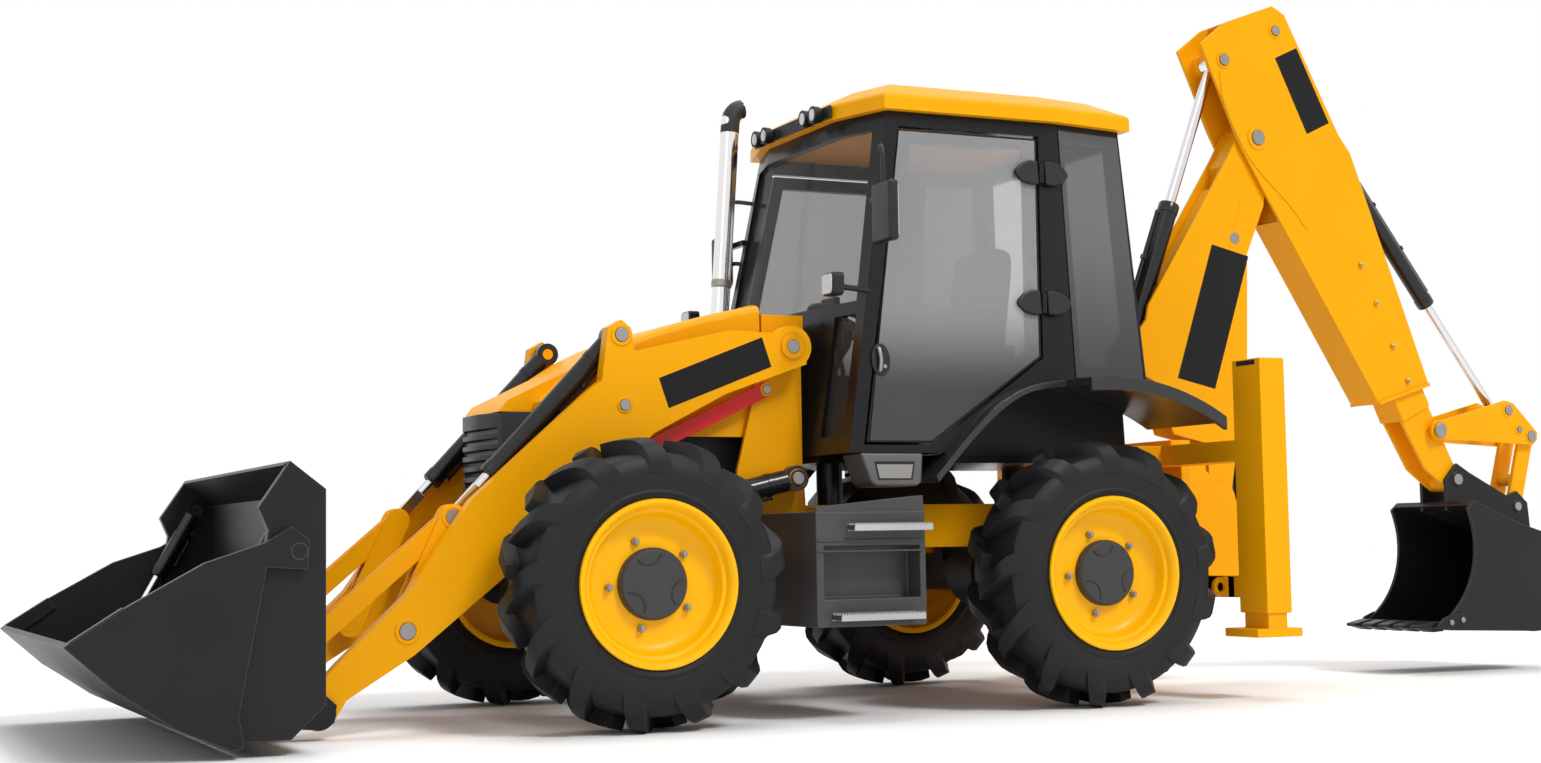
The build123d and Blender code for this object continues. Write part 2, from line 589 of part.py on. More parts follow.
# Front frame: rails, cross-members, loader towers and the lift rams' base pins
TOWER = ((1200, 850), (1538, 850), (1538, 1085), (1430, 1500), (1405, 1712), (1255, 1712), (1200, 950))
with BuildPart() as front_frame:
    block((RAIL_REAR_X, RAIL_FRONT_X), (RAIL_INNER_Y, RAIL_OUTER_Y), (RAIL_BOTTOM, RAIL_TOP))
    plate(TOWER, TOWER_INNER_Y, TOWER_OUTER_Y)
    block(TOWER_FOOT_X, (RAIL_OUTER_Y - 2 * WELD, TOWER_INNER_Y + WELD), (TOWER_FOOT_Z, RAIL_TOP))
    disc(ARM_PIVOT, ARM_PIN_COLLAR, TOWER_OUTER_Y, ARM_INNER_Y - RUNNING_GAP)
    disc(ARM_PIVOT, ARM_PIN_RADIUS, TOWER_INNER_Y, ARM_OUTER_Y + PIN_CAP_THICKNESS)
    disc(ARM_PIVOT, ARM_PIN_CAP, ARM_OUTER_Y + RUNNING_GAP, ARM_OUTER_Y + PIN_CAP_THICKNESS)
    eye_side = LIFT_EYE_WIDTH / 2
    disc(LIFT_BASE, LIFT_EYE * COLLAR_SHARE, TOWER_OUTER_Y, LIFT_Y - eye_side - RUNNING_GAP)
    disc(LIFT_BASE, LIFT_PIN_RADIUS, TOWER_INNER_Y, LIFT_Y + eye_side + LIFT_PIN_CAP)
    disc(LIFT_BASE, LIFT_EYE * COLLAR_SHARE, LIFT_Y + eye_side + RUNNING_GAP,
         LIFT_Y + eye_side + LIFT_PIN_CAP)
    bracket_y = (RAIL_OUTER_Y - WELD, TANK_INNER_Y)
    block([TANK_REAR_X + reach for reach in TANK_BRACKET], bracket_y, TANK_BRACKET_Z)
    block([TANK_FRONT_X - reach for reach in reversed(TANK_BRACKET)], bracket_y, TANK_BRACKET_Z)
    strip((COWL_X[1] - 6 * WELD, COWL_TOP_Z - WELD), BONNET_HINGE, BONNET_LUG_RADIUS, *BONNET_LUG_Y)
    disc(BONNET_HINGE, BONNET_PIN_RADIUS + PIN_CLEARANCE, *BONNET_LUG_Y, Mode.SUBTRACT)
    block(COWL_X, (0, BONNET_HALF_WIDTH), (COWL_BOTTOM_Z, COWL_TOP_Z))
    mirror(about=Plane.XZ)
    beam_y = (-RAIL_INNER_Y - WELD, RAIL_INNER_Y + WELD)
    block((RAIL_FRONT_X - FRONT_BEAM, RAIL_FRONT_X), beam_y, (RAIL_BOTTOM, RAIL_TOP))
    block((RAIL_REAR_X, RAIL_REAR_X + REAR_BEAM), beam_y, (RAIL_BOTTOM, RAIL_TOP))
    block(BULKHEAD_X, (-TOWER_INNER_Y - WELD, TOWER_INNER_Y + WELD), BULKHEAD_Z)
    block((RAIL_FRONT_X - 2 * WELD, TOW_EYE_X), (-TOW_EYE_OUTER, TOW_EYE_OUTER), TOW_EYE_Z)
    post(TOW_EYE_X, 0, TOW_EYE_OUTER, *TOW_EYE_Z)
    post(TOW_EYE_X, 0, TOW_EYE_RADIUS, *TOW_EYE_Z, Mode.SUBTRACT)
keep(front_frame.part, "front_frame")

with BuildPart() as safety_strut:
    strip(STRUT_TOP, STRUT_END, STRUT_HALF_WIDTH, STRUT_INNER_Y, STRUT_OUTER_Y)
    disc(STRUT_TOP, STRUT_PIN_RADIUS, TOWER_OUTER_Y, STRUT_INNER_Y)
keep(safety_strut.part, "safety_strut")

# Engine block between the rails
with BuildPart() as engine_block:
    block(ENGINE_X, (-ENGINE_HALF_WIDTH, ENGINE_HALF_WIDTH), ENGINE_Z)
    block(ENGINE_MOUNT_X, (-RAIL_INNER_Y, RAIL_INNER_Y), (ENGINE_Z[0], ENGINE_MOUNT_TOP))
keep(engine_block.part, "engine_block")

# Nose grille: a bowed hollow panel below the bonnet's nose
NOSE_PLAN = ((2300, BONNET_HALF_WIDTH), (2440, BONNET_HALF_WIDTH), (2590, 270), (2650, 110))
with BuildPart() as nose_grille:
    with BuildSketch(Plane.XY.offset(NOSE_BOTTOM_Z)) as nose:
        with BuildLine():
            Polyline(*NOSE_PLAN, *[(x, -y) for x, y in reversed(NOSE_PLAN)], close=True)
        make_face()
    extrude(nose.sketch, amount=NOSE_TOP_Z - NOSE_BOTTOM_Z)
    block(*NOSE_HOLLOW_REAR, (NOSE_BOTTOM_Z, NOSE_TOP_Z), Mode.SUBTRACT)
    block(*NOSE_HOLLOW_FRONT, (NOSE_BOTTOM_Z, NOSE_TOP_Z), Mode.SUBTRACT)
    for count in range(LOUVRES):
        low = NOSE_BOTTOM_Z + LOUVRE_START + count * LOUVRE_PITCH
        block(LOUVRE_X, LOUVRE_Y, (low, low + LOUVRE_PITCH / 2), Mode.SUBTRACT)
keep(nose_grille.part, "nose_grille")

# Bonnet: a sloping hood with a bowed nose, hinged at its rear edge
BONNET_TOP = ((BONNET_REAR_X, 1842), (1712, 1775), (1977, 1690), (2226, 1560), (2440, 1390), (2440, 1350))
BONNET_NOSE = ((2226, 1560), (2560, 1400), (2600, 1350), (2300, 1350))
BONNET_HOLLOW = ((BONNET_REAR_X - 20, 1820), (2400, 1375), (2400, 1200), (BONNET_REAR_X - 20, 1200))
with BuildPart() as bonnet:
    contour(BONNET_TOP[0], (BONNET_TOP[1:3], BONNET_TOP[3:5], BONNET_TOP[5], (2290, 1350), (1950, 1240),
                            (BONNET_REAR_X, 1240)), -BONNET_HALF_WIDTH, BONNET_HALF_WIDTH)
    fillet(bonnet.edges().filter_by(GeomType.CIRCLE), BONNET_ROUNDING)
    plate(BONNET_NOSE, -BONNET_NOSE_HALF_WIDTH, BONNET_NOSE_HALF_WIDTH)
    inner_top = [(x - BONNET_WALL, z - 2 * BONNET_WALL) for x, z in BONNET_TOP]
    plate((BONNET_HOLLOW[0], *inner_top[1:4], *BONNET_HOLLOW[1:]),
          -BONNET_HALF_WIDTH + BONNET_WALL, BONNET_HALF_WIDTH - BONNET_WALL, Mode.SUBTRACT)
    for side in (1, -1):
        tongue = sorted((side * BONNET_TONGUE_Y[0], side * BONNET_TONGUE_Y[1]))
        strip(BONNET_HINGE, BONNET_TONGUE_END, BONNET_TONGUE_RADIUS, *tongue)
        pin = sorted((side * (BONNET_LUG_Y[0] - WELD), side * BONNET_TONGUE_Y[1]))
        disc(BONNET_HINGE, BONNET_PIN_RADIUS, *pin)
keep(bonnet.part, "bonnet")

# Exhaust stack on the right of the cowl, leaning back
with BuildPart() as exhaust_stack:
    foot, bend, middle, tip = ((x, EXHAUST_Y, z) for x, z in EXHAUST_ROUTE)
    with BuildLine() as route:
        Line(foot, bend)
        ThreePointArc(bend, middle, tip)
    with BuildSketch(Plane(origin=route.line @ 0, z_dir=route.line % 0)) as section:
        Circle(EXHAUST_RADIUS)
    sweep(section.sketch, path=route.line)
    post(EXHAUST_ROUTE[0][0], EXHAUST_Y, EXHAUST_COLLAR[0], COWL_TOP_Z, COWL_TOP_Z + EXHAUST_COLLAR[1])
keep(exhaust_stack.part, "exhaust_stack")

# Side tanks with step treads
with BuildPart() as side_steps:
    block((TANK_REAR_X, TANK_FRONT_X), (TANK_INNER_Y, TANK_OUTER_Y), (TANK_BOTTOM_Z, TANK_TOP_Z))
    block(STEP_RECESS_X, (TANK_OUTER_Y - STEP_RECESS, TANK_OUTER_Y + WELD), STEP_RECESS_Z, Mode.SUBTRACT)
    for length, reach, height in (LOWER_TREAD, UPPER_TREAD):
        block(length, (TANK_OUTER_Y - WELD, TANK_OUTER_Y + reach), height)
    mirror(about=Plane.XZ)
keep(side_steps.part, "side_steps")

# Fenders over the rear wheels: a bent band from the tub out past the tyre
FENDER_TOP = ((800, 1044), (700, 1150), (500, 1340), (300, 1450), (150, 1478), (-150, 1478),
              (-400, 1420), (-630, 1310))


def fender_band(y0, y1, drop):
    """A curved sheet along the fender's top, between two distances from the middle."""
    under = [(x - drop / 2 if x > FENDER_CREST_X else x, z - drop) for x, z in reversed(FENDER_TOP)]
    with BuildSketch(Plane.XZ.offset(-y1)) as outline:
        with BuildLine():
            Spline(*FENDER_TOP)
            Line(FENDER_TOP[-1], under[0])
            Spline(*under)
            Line(under[-1], FENDER_TOP[0])
        make_face()
    extrude(outline.sketch, amount=y1 - y0)


with BuildPart() as fenders:
    fender_band(CAB_TUB_HALF_WIDTH, FENDER_OUTER_Y - FENDER_LIP, FENDER_SHEET)
    fender_band(FENDER_OUTER_Y - FENDER_LIP - WELD, FENDER_OUTER_Y, FENDER_LIP_DROP)
    block(FENDER_CUT[0], (FENDER_FRONT_Y, FENDER_OUTER_Y + WELD), FENDER_CUT[1], Mode.SUBTRACT)
    mirror(about=Plane.XZ)
keep(fenders.part, "fenders")


# Cab: walls between two plan outlines, with the openings cut through
def cab_outline(plan):
    return (*plan, *[(x, -y) for x, y in reversed(plan)])


def cab_body(inset, mode=Mode.ADD, floor=CAB_FLOOR_Z, top=CAB_TOP_Z):
    """The cab's tapered body, set in from its outer skin."""
    with BuildSketch(Plane.XY.offset(floor)) as low:
        with BuildLine():
            Polyline(*cab_outline(CAB_FLOOR_PLAN), close=True)
        make_face()
        if inset:
            offset(amount=-inset, kind=Kind.INTERSECTION, mode=Mode.REPLACE)
    with BuildSketch(Plane.XY.offset(top)) as high:
        with BuildLine():
            Polyline(*cab_outline(CAB_TOP_PLAN), close=True)
        make_face()
        if inset:
            offset(amount=-inset, kind=Kind.INTERSECTION, mode=Mode.REPLACE)
    loft([low.sketch.face(), high.sketch.face()], ruled=True, mode=mode)


def side_opening(points, shrink, y0, y1, mode):
    """A prism through the cab's side with the given outline, drawn in by shrink."""
    with BuildSketch(Plane.XZ.offset(-y1)) as outline:
        with BuildLine():
            Polyline(*points, close=True)
        make_face()
        if shrink:
            offset(amount=-shrink, kind=Kind.INTERSECTION, mode=Mode.REPLACE)
    extrude(outline.sketch, amount=y1 - y0, mode=mode)


def front_opening(points, x0, x1, mode):
    """A prism through the cab's front or rear wall, its outline given as (y, z)."""
    with BuildSketch(Plane.YZ.offset(x0)) as outline:
        with BuildLine():
            Polyline(*points, close=True)
        make_face()
    extrude(outline.sketch, amount=x1 - x0, mode=mode)


DOOR = ((1110, 1185), (760, 1185), (150, 1590), (82, 2650), (830, 2650))
REAR_QUARTER = ((-70, 1560), (-385, 1560), (-350, 2640), (-62, 2640))
WINDSCREEN = ((-690, 1840), (690, 1840), (615, 2640), (-615, 2640))
FRONT_QUARTER = ((530, 1230), (745, 1230), (705, 1780), (530, 1780))
REAR_WINDOW = ((-600, 1540), (600, 1540), (545, 2640), (-545, 2640))
FAR = 1000.0


def skin_half_width(x, z):
    """Half the cab's width beside the doors, at a point seen from the side."""
    share = (z - CAB_FLOOR_Z) / (CAB_TOP_Z - CAB_FLOOR_Z)
    front, rear = (
        [low + (high - low) * share for low, high in zip(CAB_FLOOR_PLAN[corner], CAB_TOP_PLAN[corner])]
        for corner in (1, 2)
    )
    return front[1] + (rear[1] - front[1]) * (x - front[0]) / (rear[0] - front[0])


def hinge_plane(level):
    """A plane across the left door's hinge line: x forward along the skin, y outward."""
    foot, head = (Vector(x, skin_half_width(x, z), z) for x, z in DOOR[2:4])
    axis = (head - foot).normalized()
    outward = axis.cross(Vector(1, 0, 0)).normalized()
    share = (level - foot.Z) / (head.Z - foot.Z)
    origin = foot + (head - foot) * share + outward * HINGE_STAND
    return Plane(origin=origin, x_dir=outward.cross(axis), z_dir=axis)


def hinge_leaf(plane, direction):
    """A hinge knuckle with its leaf, to the front for 1 and to the rear for -1."""
    with BuildSketch(plane) as leaf:
        with BuildLine():
            Polyline(*[(direction * x, y) for x, y in HINGE_LEAF], close=True)
        make_face()
        Circle(HINGE_KNUCKLE_RADIUS)
    extrude(leaf.sketch, amount=HINGE_LENGTH)


def hinge_pin(plane, radius, length, mode=Mode.ADD):
    """A hinge pin or the bore for it."""
    with BuildSketch(plane) as outline:
        Circle(radius)
    extrude(outline.sketch, amount=length, mode=mode)


def arch_cut(y0, y1):
    """Clears the cab's side for the fender and the rear wheel."""
    with BuildSketch(Plane.XZ.offset(-y1)) as outline:
        with BuildLine():
            Spline(*FENDER_TOP)
            Polyline(FENDER_TOP[-1], (-900, 1175), (-900, 1000), (900, 1000), FENDER_TOP[0])
        make_face()
    extrude(outline.sketch, amount=y1 - y0, mode=Mode.SUBTRACT)


def cab_openings(mode):
    """Windscreen, front quarter lights, rear quarter lights and rear window."""
    front_opening(WINDSCREEN, 700, 1300, mode)
    for side in (1, -1):
        front_opening([(side * y, z) for y, z in FRONT_QUARTER], 900, 1300, mode)
        ends = sorted((side * 400, side * FAR))
        side_opening(REAR_QUARTER, 0, ends[0], ends[1], mode)
    front_opening(REAR_WINDOW, -600, -300, mode)


with BuildPart() as pillar_hinges:
    for level in HINGE_LEVELS:
        hinge_leaf(hinge_plane(level), -1)
        hinge_pin(hinge_plane(level), HINGE_PIN_RADIUS + PIN_CLEARANCE, HINGE_LENGTH, Mode.SUBTRACT)
    mirror(about=Plane.XZ)

with BuildPart() as cab_frame:
    cab_body(0)
    cab_body(CAB_WALL, Mode.SUBTRACT)
    for side in (1, -1):
        ends = sorted((side * CAB_TUB_HALF_WIDTH, side * FAR))
        arch_cut(*ends)
        side_opening(DOOR, 0, ends[0], ends[1], Mode.SUBTRACT)
    cab_openings(Mode.SUBTRACT)
    floor_top = CAB_FLOOR_Z + CAB_FLOOR_THICKNESS
    block(CAB_FLOOR_X, (-CAB_FLOOR_HALF_WIDTH, CAB_FLOOR_HALF_WIDTH), (CAB_FLOOR_Z, floor_top))
    tub = CAB_TUB_HALF_WIDTH - 2 * WELD
    block((CAB_TUB_REAR_X, CAB_FLOOR_X[1]), (-tub, tub), (CAB_FLOOR_Z - CAB_TUB_DROP, floor_top))
    for side in (1, -1):
        ends = sorted((side * (CAB_TUB_HALF_WIDTH - CAB_TUB_SHEET), side * CAB_TUB_HALF_WIDTH))
        plate(((-470, CAB_FLOOR_Z), *FENDER_TOP[1:7], (-470, 1390)), ends[0], ends[1])
        for x in CAB_FOOT_X:
            post(x, side * CAB_FOOT_Y, CAB_FOOT_RADIUS, RAIL_TOP, CAB_FLOOR_Z)
        arm = sorted((side * MIRROR_ARM_Y[0], side * MIRROR_ARM_Y[1]))
        block(MIRROR_ARM_X, arm, MIRROR_ARM_Z)
    add(pillar_hinges.part)
keep(cab_frame.part, "cab_frame")

with BuildPart() as cab_glass:
    cab_body(GLASS_INSET)
    cab_body(GLASS_INSET + GLASS_THICKNESS, Mode.SUBTRACT)
    with BuildPart(mode=Mode.PRIVATE) as panes:
        cab_openings(Mode.ADD)
    add(panes.part, mode=Mode.INTERSECT)
keep(cab_glass.part, "cab_glass")

# Doors: a frame hinged at its rear edge, with one pane
with BuildPart() as door:
    cab_body(0)
    cab_body(CAB_WALL, Mode.SUBTRACT)
    side_opening(DOOR, DOOR_GAP, 400, FAR, Mode.INTERSECT)
    side_opening(DOOR, DOOR_GAP + DOOR_FRAME, 400, FAR, Mode.SUBTRACT)
    for level in HINGE_LEVELS:
        hinge_leaf(hinge_plane(level).offset(HINGE_LENGTH + RUNNING_GAP), 1)
        hinge_pin(hinge_plane(level), HINGE_PIN_RADIUS, 2 * HINGE_LENGTH)
with BuildPart() as door_glass:
    cab_body(GLASS_INSET)
    cab_body(GLASS_INSET + GLASS_THICKNESS, Mode.SUBTRACT)
    side_opening(DOOR, DOOR_GAP + DOOR_FRAME, 400, FAR, Mode.INTERSECT)
keep(door.part, "door_left")
keep(door.part.mirror(Plane.XZ), "door_right")
keep(door_glass.part, "door_glass_left")
keep(door_glass.part.mirror(Plane.XZ), "door_glass_right")

# Roof: a cap with an upright brim
with BuildPart() as cab_roof:
    for height, spread in ((CAB_TOP_Z, ROOF_OVERHANG), (ROOF_BRIM_Z, ROOF_OVERHANG), (ROOF_TOP_Z, -110)):
        with BuildSketch(Plane.XY.offset(height)):
            with BuildLine():
                Polyline(*cab_outline(CAB_TOP_PLAN), close=True)
            make_face()
            offset(amount=spread, kind=Kind.INTERSECTION, mode=Mode.REPLACE)
    loft(ruled=True)
    fillet(cab_roof.edges().filter_by_position(Axis.Z, ROOF_BRIM_Z - 1, ROOF_TOP_Z + 1), ROOF_ROUNDING)
keep(cab_roof.part, "cab_roof")

ROOF_FRONT_X = CAB_TOP_PLAN[0][0] + ROOF_OVERHANG
ROOF_REAR_X = CAB_TOP_PLAN[3][0] - ROOF_OVERHANG
LAMP_Z = (CAB_TOP_Z + ROOF_BRIM_Z) / 2
with BuildPart() as lamps:
    for y in LAMP_FRONT_Y:
        pole((ROOF_FRONT_X, y, LAMP_Z), (ROOF_FRONT_X + LAMP_DEPTH, y, LAMP_Z), LAMP_RADIUS)
    for y in LAMP_REAR_Y:
        pole((ROOF_REAR_X, y, LAMP_Z), (ROOF_REAR_X - LAMP_DEPTH, y, LAMP_Z), LAMP_RADIUS)
    mirror(about=Plane.XZ)
keep(lamps.part, "lamps")

with BuildPart() as mirrors:
    block((990, 1040), (800, 980), (2080, 2350))
    fillet(mirrors.edges(), MIRROR_ROUNDING)
    mirror(about=Plane.XZ)
keep(mirrors.part, "mirrors")

SEAT_Z = CAB_FLOOR_Z + 18
with BuildPart() as operator_seat:
    block((60, 460), (-180, 180), (SEAT_Z, SEAT_Z + 260))
    block((0, 500), (-260, 260), (SEAT_Z + 260, SEAT_Z + 390))
    plate(((0, SEAT_Z + 380), (120, SEAT_Z + 380), (20, SEAT_Z + 1050), (-70, SEAT_Z + 1050)), -240, 240)
    block((1000, 1060), (-50, 50), (SEAT_Z, SEAT_Z + 60))
    bar((1030, SEAT_Z + 40), (760, SEAT_Z + 640), 0, 35, 0, 650)
    column = along((1030, SEAT_Z + 40), (760, SEAT_Z + 640), 0).offset(650)
    with Locations(column.location):
        Torus(STEERING_RADIUS, STEERING_GRIP)
    with BuildSketch(column.offset(-10)) as spokes:
        Rectangle(2 * STEERING_RADIUS, 50)
        Rectangle(50, 2 * STEERING_RADIUS)
    extrude(spokes.sketch, amount=16)
keep(operator_seat.part, "operator_seat")

# Loader arms with the knee plates and ram brackets
LIFT_EAR = ((2330, 960), (2640, 690), (2540, 690), (2470, 715), (2400, 735), (2310, 920))
LIFT_EAR_BRIDGES = (
    ((2330, 960), (2390, 907), (2420, 940), (2360, 1000)),
    ((2590, 733), (2640, 690), (2680, 720), (2630, 770)),
)
ARM = (
    (1250, 1690), (1620, 1705), (2080, 1600), (2095, 1700), (2140, 1735), (2200, 1700), (2232, 1470),
    (2300, 1415), (2815, 960), (3090, 575), (3380, 300), (3515, 155), (3470, 40), (3400, 60), (3340, 156),
    (3060, 326), (2690, 623), (1990, 1245), (1650, 1420), (1250, 1560),
)
with BuildPart() as loader_arms:
    plate(ARM, ARM_INNER_Y, ARM_OUTER_Y)
    disc(ARM_PIVOT, ARM_BOSS, ARM_INNER_Y, ARM_OUTER_Y)
    disc(ARM_PIVOT, ARM_PIN_RADIUS + PIN_CLEARANCE, ARM_INNER_Y, ARM_OUTER_Y, Mode.SUBTRACT)
    disc(SHOVEL_PIVOT, SHOVEL_BOSS, ARM_INNER_Y, ARM_OUTER_Y)
    disc(SHOVEL_PIVOT, SHOVEL_PIN_RADIUS + PIN_CLEARANCE, ARM_INNER_Y, ARM_OUTER_Y, Mode.SUBTRACT)
    disc(LIFT_PIN, LIFT_POCKET, LIFT_Y - LIFT_SLOT, LIFT_Y + LIFT_SLOT, Mode.SUBTRACT)
    ear_inner_y = LIFT_Y - LIFT_SLOT - LIFT_EAR_THICKNESS
    plate(LIFT_EAR, ARM_OUTER_Y - LIFT_EAR_THICKNESS, ARM_OUTER_Y)
    plate(LIFT_EAR, ear_inner_y, LIFT_Y - LIFT_SLOT)
    for bridge in LIFT_EAR_BRIDGES:
        plate(bridge, ear_inner_y, ARM_INNER_Y + WELD)
    strip(*LIFT_RELIEF, LIFT_ROD + LIFT_RELIEF_ROOM, LIFT_Y - LIFT_SLOT, LIFT_Y + LIFT_SLOT, Mode.SUBTRACT)
    disc(ARM_CROSS_TUBE, CROSS_TUBE_RADIUS, 0, ARM_INNER_Y + WELD)
    disc(TILT_BASE, TILT_EYE * COLLAR_SHARE, TILT_Y + TILT_EYE_WIDTH / 2 + RUNNING_GAP, ARM_INNER_Y)
    disc(TILT_BASE, TILT_PIN_RADIUS, TILT_Y - TILT_EYE_WIDTH / 2, ARM_OUTER_Y)
    disc(LEVER_PIVOT, LEVER_BUSH_RADIUS, LEVER_CHEEKS[0][0] - RUNNING_GAP, ARM_OUTER_Y)
    disc(LEVER_PIVOT, LEVER_COLLAR_RADIUS, LEVER_CHEEKS[1][1] + RUNNING_GAP, ARM_INNER_Y)
    mirror(about=Plane.XZ)
keep(loader_arms.part, "loader_arms")

with BuildPart() as lift_barrels:
    barrel(LIFT_BASE, LIFT_PIN, LIFT_Y, LIFT_BORE, LIFT_ROD, LIFT_BARREL, LIFT_EYE, LIFT_EYE_WIDTH,
           LIFT_PIN_RADIUS)
    mirror(about=Plane.XZ)
keep(lift_barrels.part, "lift_barrels")
with BuildPart() as lift_rods:
    rod(LIFT_BASE, LIFT_PIN, LIFT_Y, LIFT_ROD, LIFT_ROD_START, LIFT_ROD_EYE, LIFT_ROD_EYE_WIDTH)
    mirror(about=Plane.XZ)
keep(lift_rods.part, "lift_rods")

with BuildPart() as tilt_barrels:
    barrel(TILT_BASE, LEVER_TOP, TILT_Y, TILT_BORE, TILT_ROD, TILT_BARREL, TILT_EYE, TILT_EYE_WIDTH,
           TILT_PIN_RADIUS)
    mirror(about=Plane.XZ)
keep(tilt_barrels.part, "tilt_barrels")
with BuildPart() as tilt_rods:
    rod(TILT_BASE, LEVER_TOP, TILT_Y, TILT_ROD, TILT_ROD_START, TILT_ROD_EYE, TILT_ROD_EYE_WIDTH,
        TILT_TANG)
    mirror(about=Plane.XZ)
keep(tilt_rods.part, "tilt_rods")

with BuildPart() as tipping_levers:
    inner, outer = LEVER_CHEEKS
    for cheek in LEVER_CHEEKS:
        strip(LEVER_PIVOT, LEVER_TOP, LEVER_HALF_WIDTH, *cheek)
    disc(LEVER_PIVOT, LEVER_HUB_RADIUS, inner[1], outer[0])
    disc(LEVER_TOP, LEVER_PIN_RADIUS, inner[0], TILT_Y + LINK_CHEEKS[0][1])
    disc(LEVER_TOP, LEVER_PIN_RADIUS, TILT_Y + LINK_CHEEKS[1][0], outer[1])
    disc(LEVER_PIVOT, LEVER_BUSH_RADIUS + PIN_CLEARANCE, inner[0], outer[1], Mode.SUBTRACT)
    mirror(about=Plane.XZ)
keep(tipping_levers.part, "tipping_levers")

LINK_SPAN = distance(LEVER_TOP, SHOVEL_LINK)
with BuildPart() as tipping_links:
    for low, high in LINK_CHEEKS:
        strip(LEVER_TOP, SHOVEL_LINK, LINK_HALF_WIDTH, TILT_Y + low, TILT_Y + high)
        disc(LEVER_TOP, LEVER_PIN_RADIUS + PIN_CLEARANCE, TILT_Y + low, TILT_Y + high, Mode.SUBTRACT)
    web = [beyond(LEVER_TOP, SHOVEL_LINK, LINK_SPAN * share) for share in LINK_WEB_SHARE]
    strip(*web, LINK_WEB_HALF_WIDTH, TILT_Y + LINK_CHEEKS[0][1], TILT_Y + LINK_CHEEKS[1][0])
    mirror(about=Plane.XZ)
keep(tipping_links.part, "tipping_links")

# Shovel: the back blade with its ears and the hinged clam
BLADE_SIDE = ((3560, 990), (3695, 1096), (3813, 922), (3776, 837), (3791, 734), (3885, 150), (3868, 60),
              (3690, 60), (3560, 184))
BLADE_SKIN = ((3560, 990), (3695, 1096), (3712, 1082), (3585, 975), (3585, 195), (3700, 85), (3868, 85),
              (3868, 60), (3690, 60), (3560, 184))
SHOVEL_EAR = ((3562, 240), (3562, 160), (3690, 62), (3470, 45), (3395, 70), (3385, 140), (3440, 190))
SHOVEL_LINK_EAR = ((3562, 480), (3562, 290), (3470, 325), (3420, 360), (3430, 410))
with BuildPart() as shovel_blade:
    plate(BLADE_SIDE, BLADE_SIDE_INNER_Y, BLADE_SIDE_OUTER_Y)
    disc(CLAM_PIVOT, CLAM_BOSS, BLADE_SIDE_INNER_Y, BLADE_SIDE_OUTER_Y)
    disc(CLAM_PIVOT, CLAM_PIN_RADIUS, BLADE_SIDE_INNER_Y, SHOVEL_HALF_WIDTH)
    for ear in SHOVEL_EARS:
        plate(SHOVEL_EAR, *ear)
        disc(SHOVEL_PIVOT, SHOVEL_EAR_BOSS, *ear)
    disc(SHOVEL_PIVOT, SHOVEL_PIN_RADIUS, SHOVEL_EARS[0][0], SHOVEL_EARS[1][1])
    for cheek in LEVER_CHEEKS:
        plate(SHOVEL_LINK_EAR, *cheek)
    root = BLADE_SIDE_INNER_Y + WELD
    disc(CLAM_RAM_BASE, CLAM_RAM_PIN_RADIUS, CLAM_RAM_Y - CLAM_EYE_WIDTH / 2 - RUNNING_GAP, root)
    disc(CLAM_RAM_BASE, CLAM_EYE * COLLAR_SHARE, CLAM_RAM_Y + CLAM_EYE_WIDTH / 2 + RUNNING_GAP, root)
    mirror(about=Plane.XZ)
    plate(BLADE_SKIN, -root, root)
keep(shovel_blade.part, "shovel_blade")

CLAM_SIDE = ((3640, 690), (3630, 800), (3700, 850), (3800, 790), (4015, 720), (4289, 568), (4490, 440),
             (4330, 290), (4101, 140), (3900, 40), (3872, 60), (3890, 160), (3790, 700))
CLAM_FLOOR = ((3876, 40), (3920, 38), (4106, 118), (4330, 272), SHOVEL_LIP, (4485, 445), (4310, 300),
              (4098, 145), (3920, 66), (3876, 66))
with BuildPart() as shovel_clam:
    plate(CLAM_SIDE, CLAM_SIDE_INNER_Y, SHOVEL_HALF_WIDTH)
    disc(CLAM_PIVOT, CLAM_PIN_RADIUS + PIN_CLEARANCE, CLAM_SIDE_INNER_Y, SHOVEL_HALF_WIDTH, Mode.SUBTRACT)
    disc(CLAM_RAM_PIN, CLAM_RAM_BOSS, CLAM_RAM_Y + CLAM_EYE_WIDTH / 2 + RUNNING_GAP, CLAM_SIDE_INNER_Y + WELD)
    mirror(about=Plane.XZ)
    plate(CLAM_FLOOR, -SHOVEL_HALF_WIDTH, SHOVEL_HALF_WIDTH)
keep(shovel_clam.part, "shovel_clam")

with BuildPart() as clam_barrels:
    barrel(CLAM_RAM_BASE, CLAM_RAM_PIN, CLAM_RAM_Y, CLAM_BORE, CLAM_ROD, CLAM_BARREL, CLAM_EYE, CLAM_EYE_WIDTH,
           CLAM_RAM_PIN_RADIUS)
    mirror(about=Plane.XZ)
keep(clam_barrels.part, "clam_barrels")
with BuildPart() as clam_rods:
    rod(CLAM_RAM_BASE, CLAM_RAM_PIN, CLAM_RAM_Y, CLAM_ROD, CLAM_ROD_START, CLAM_ROD_EYE, CLAM_EYE_WIDTH)
    mirror(about=Plane.XZ)
keep(clam_rods.part, "clam_rods")

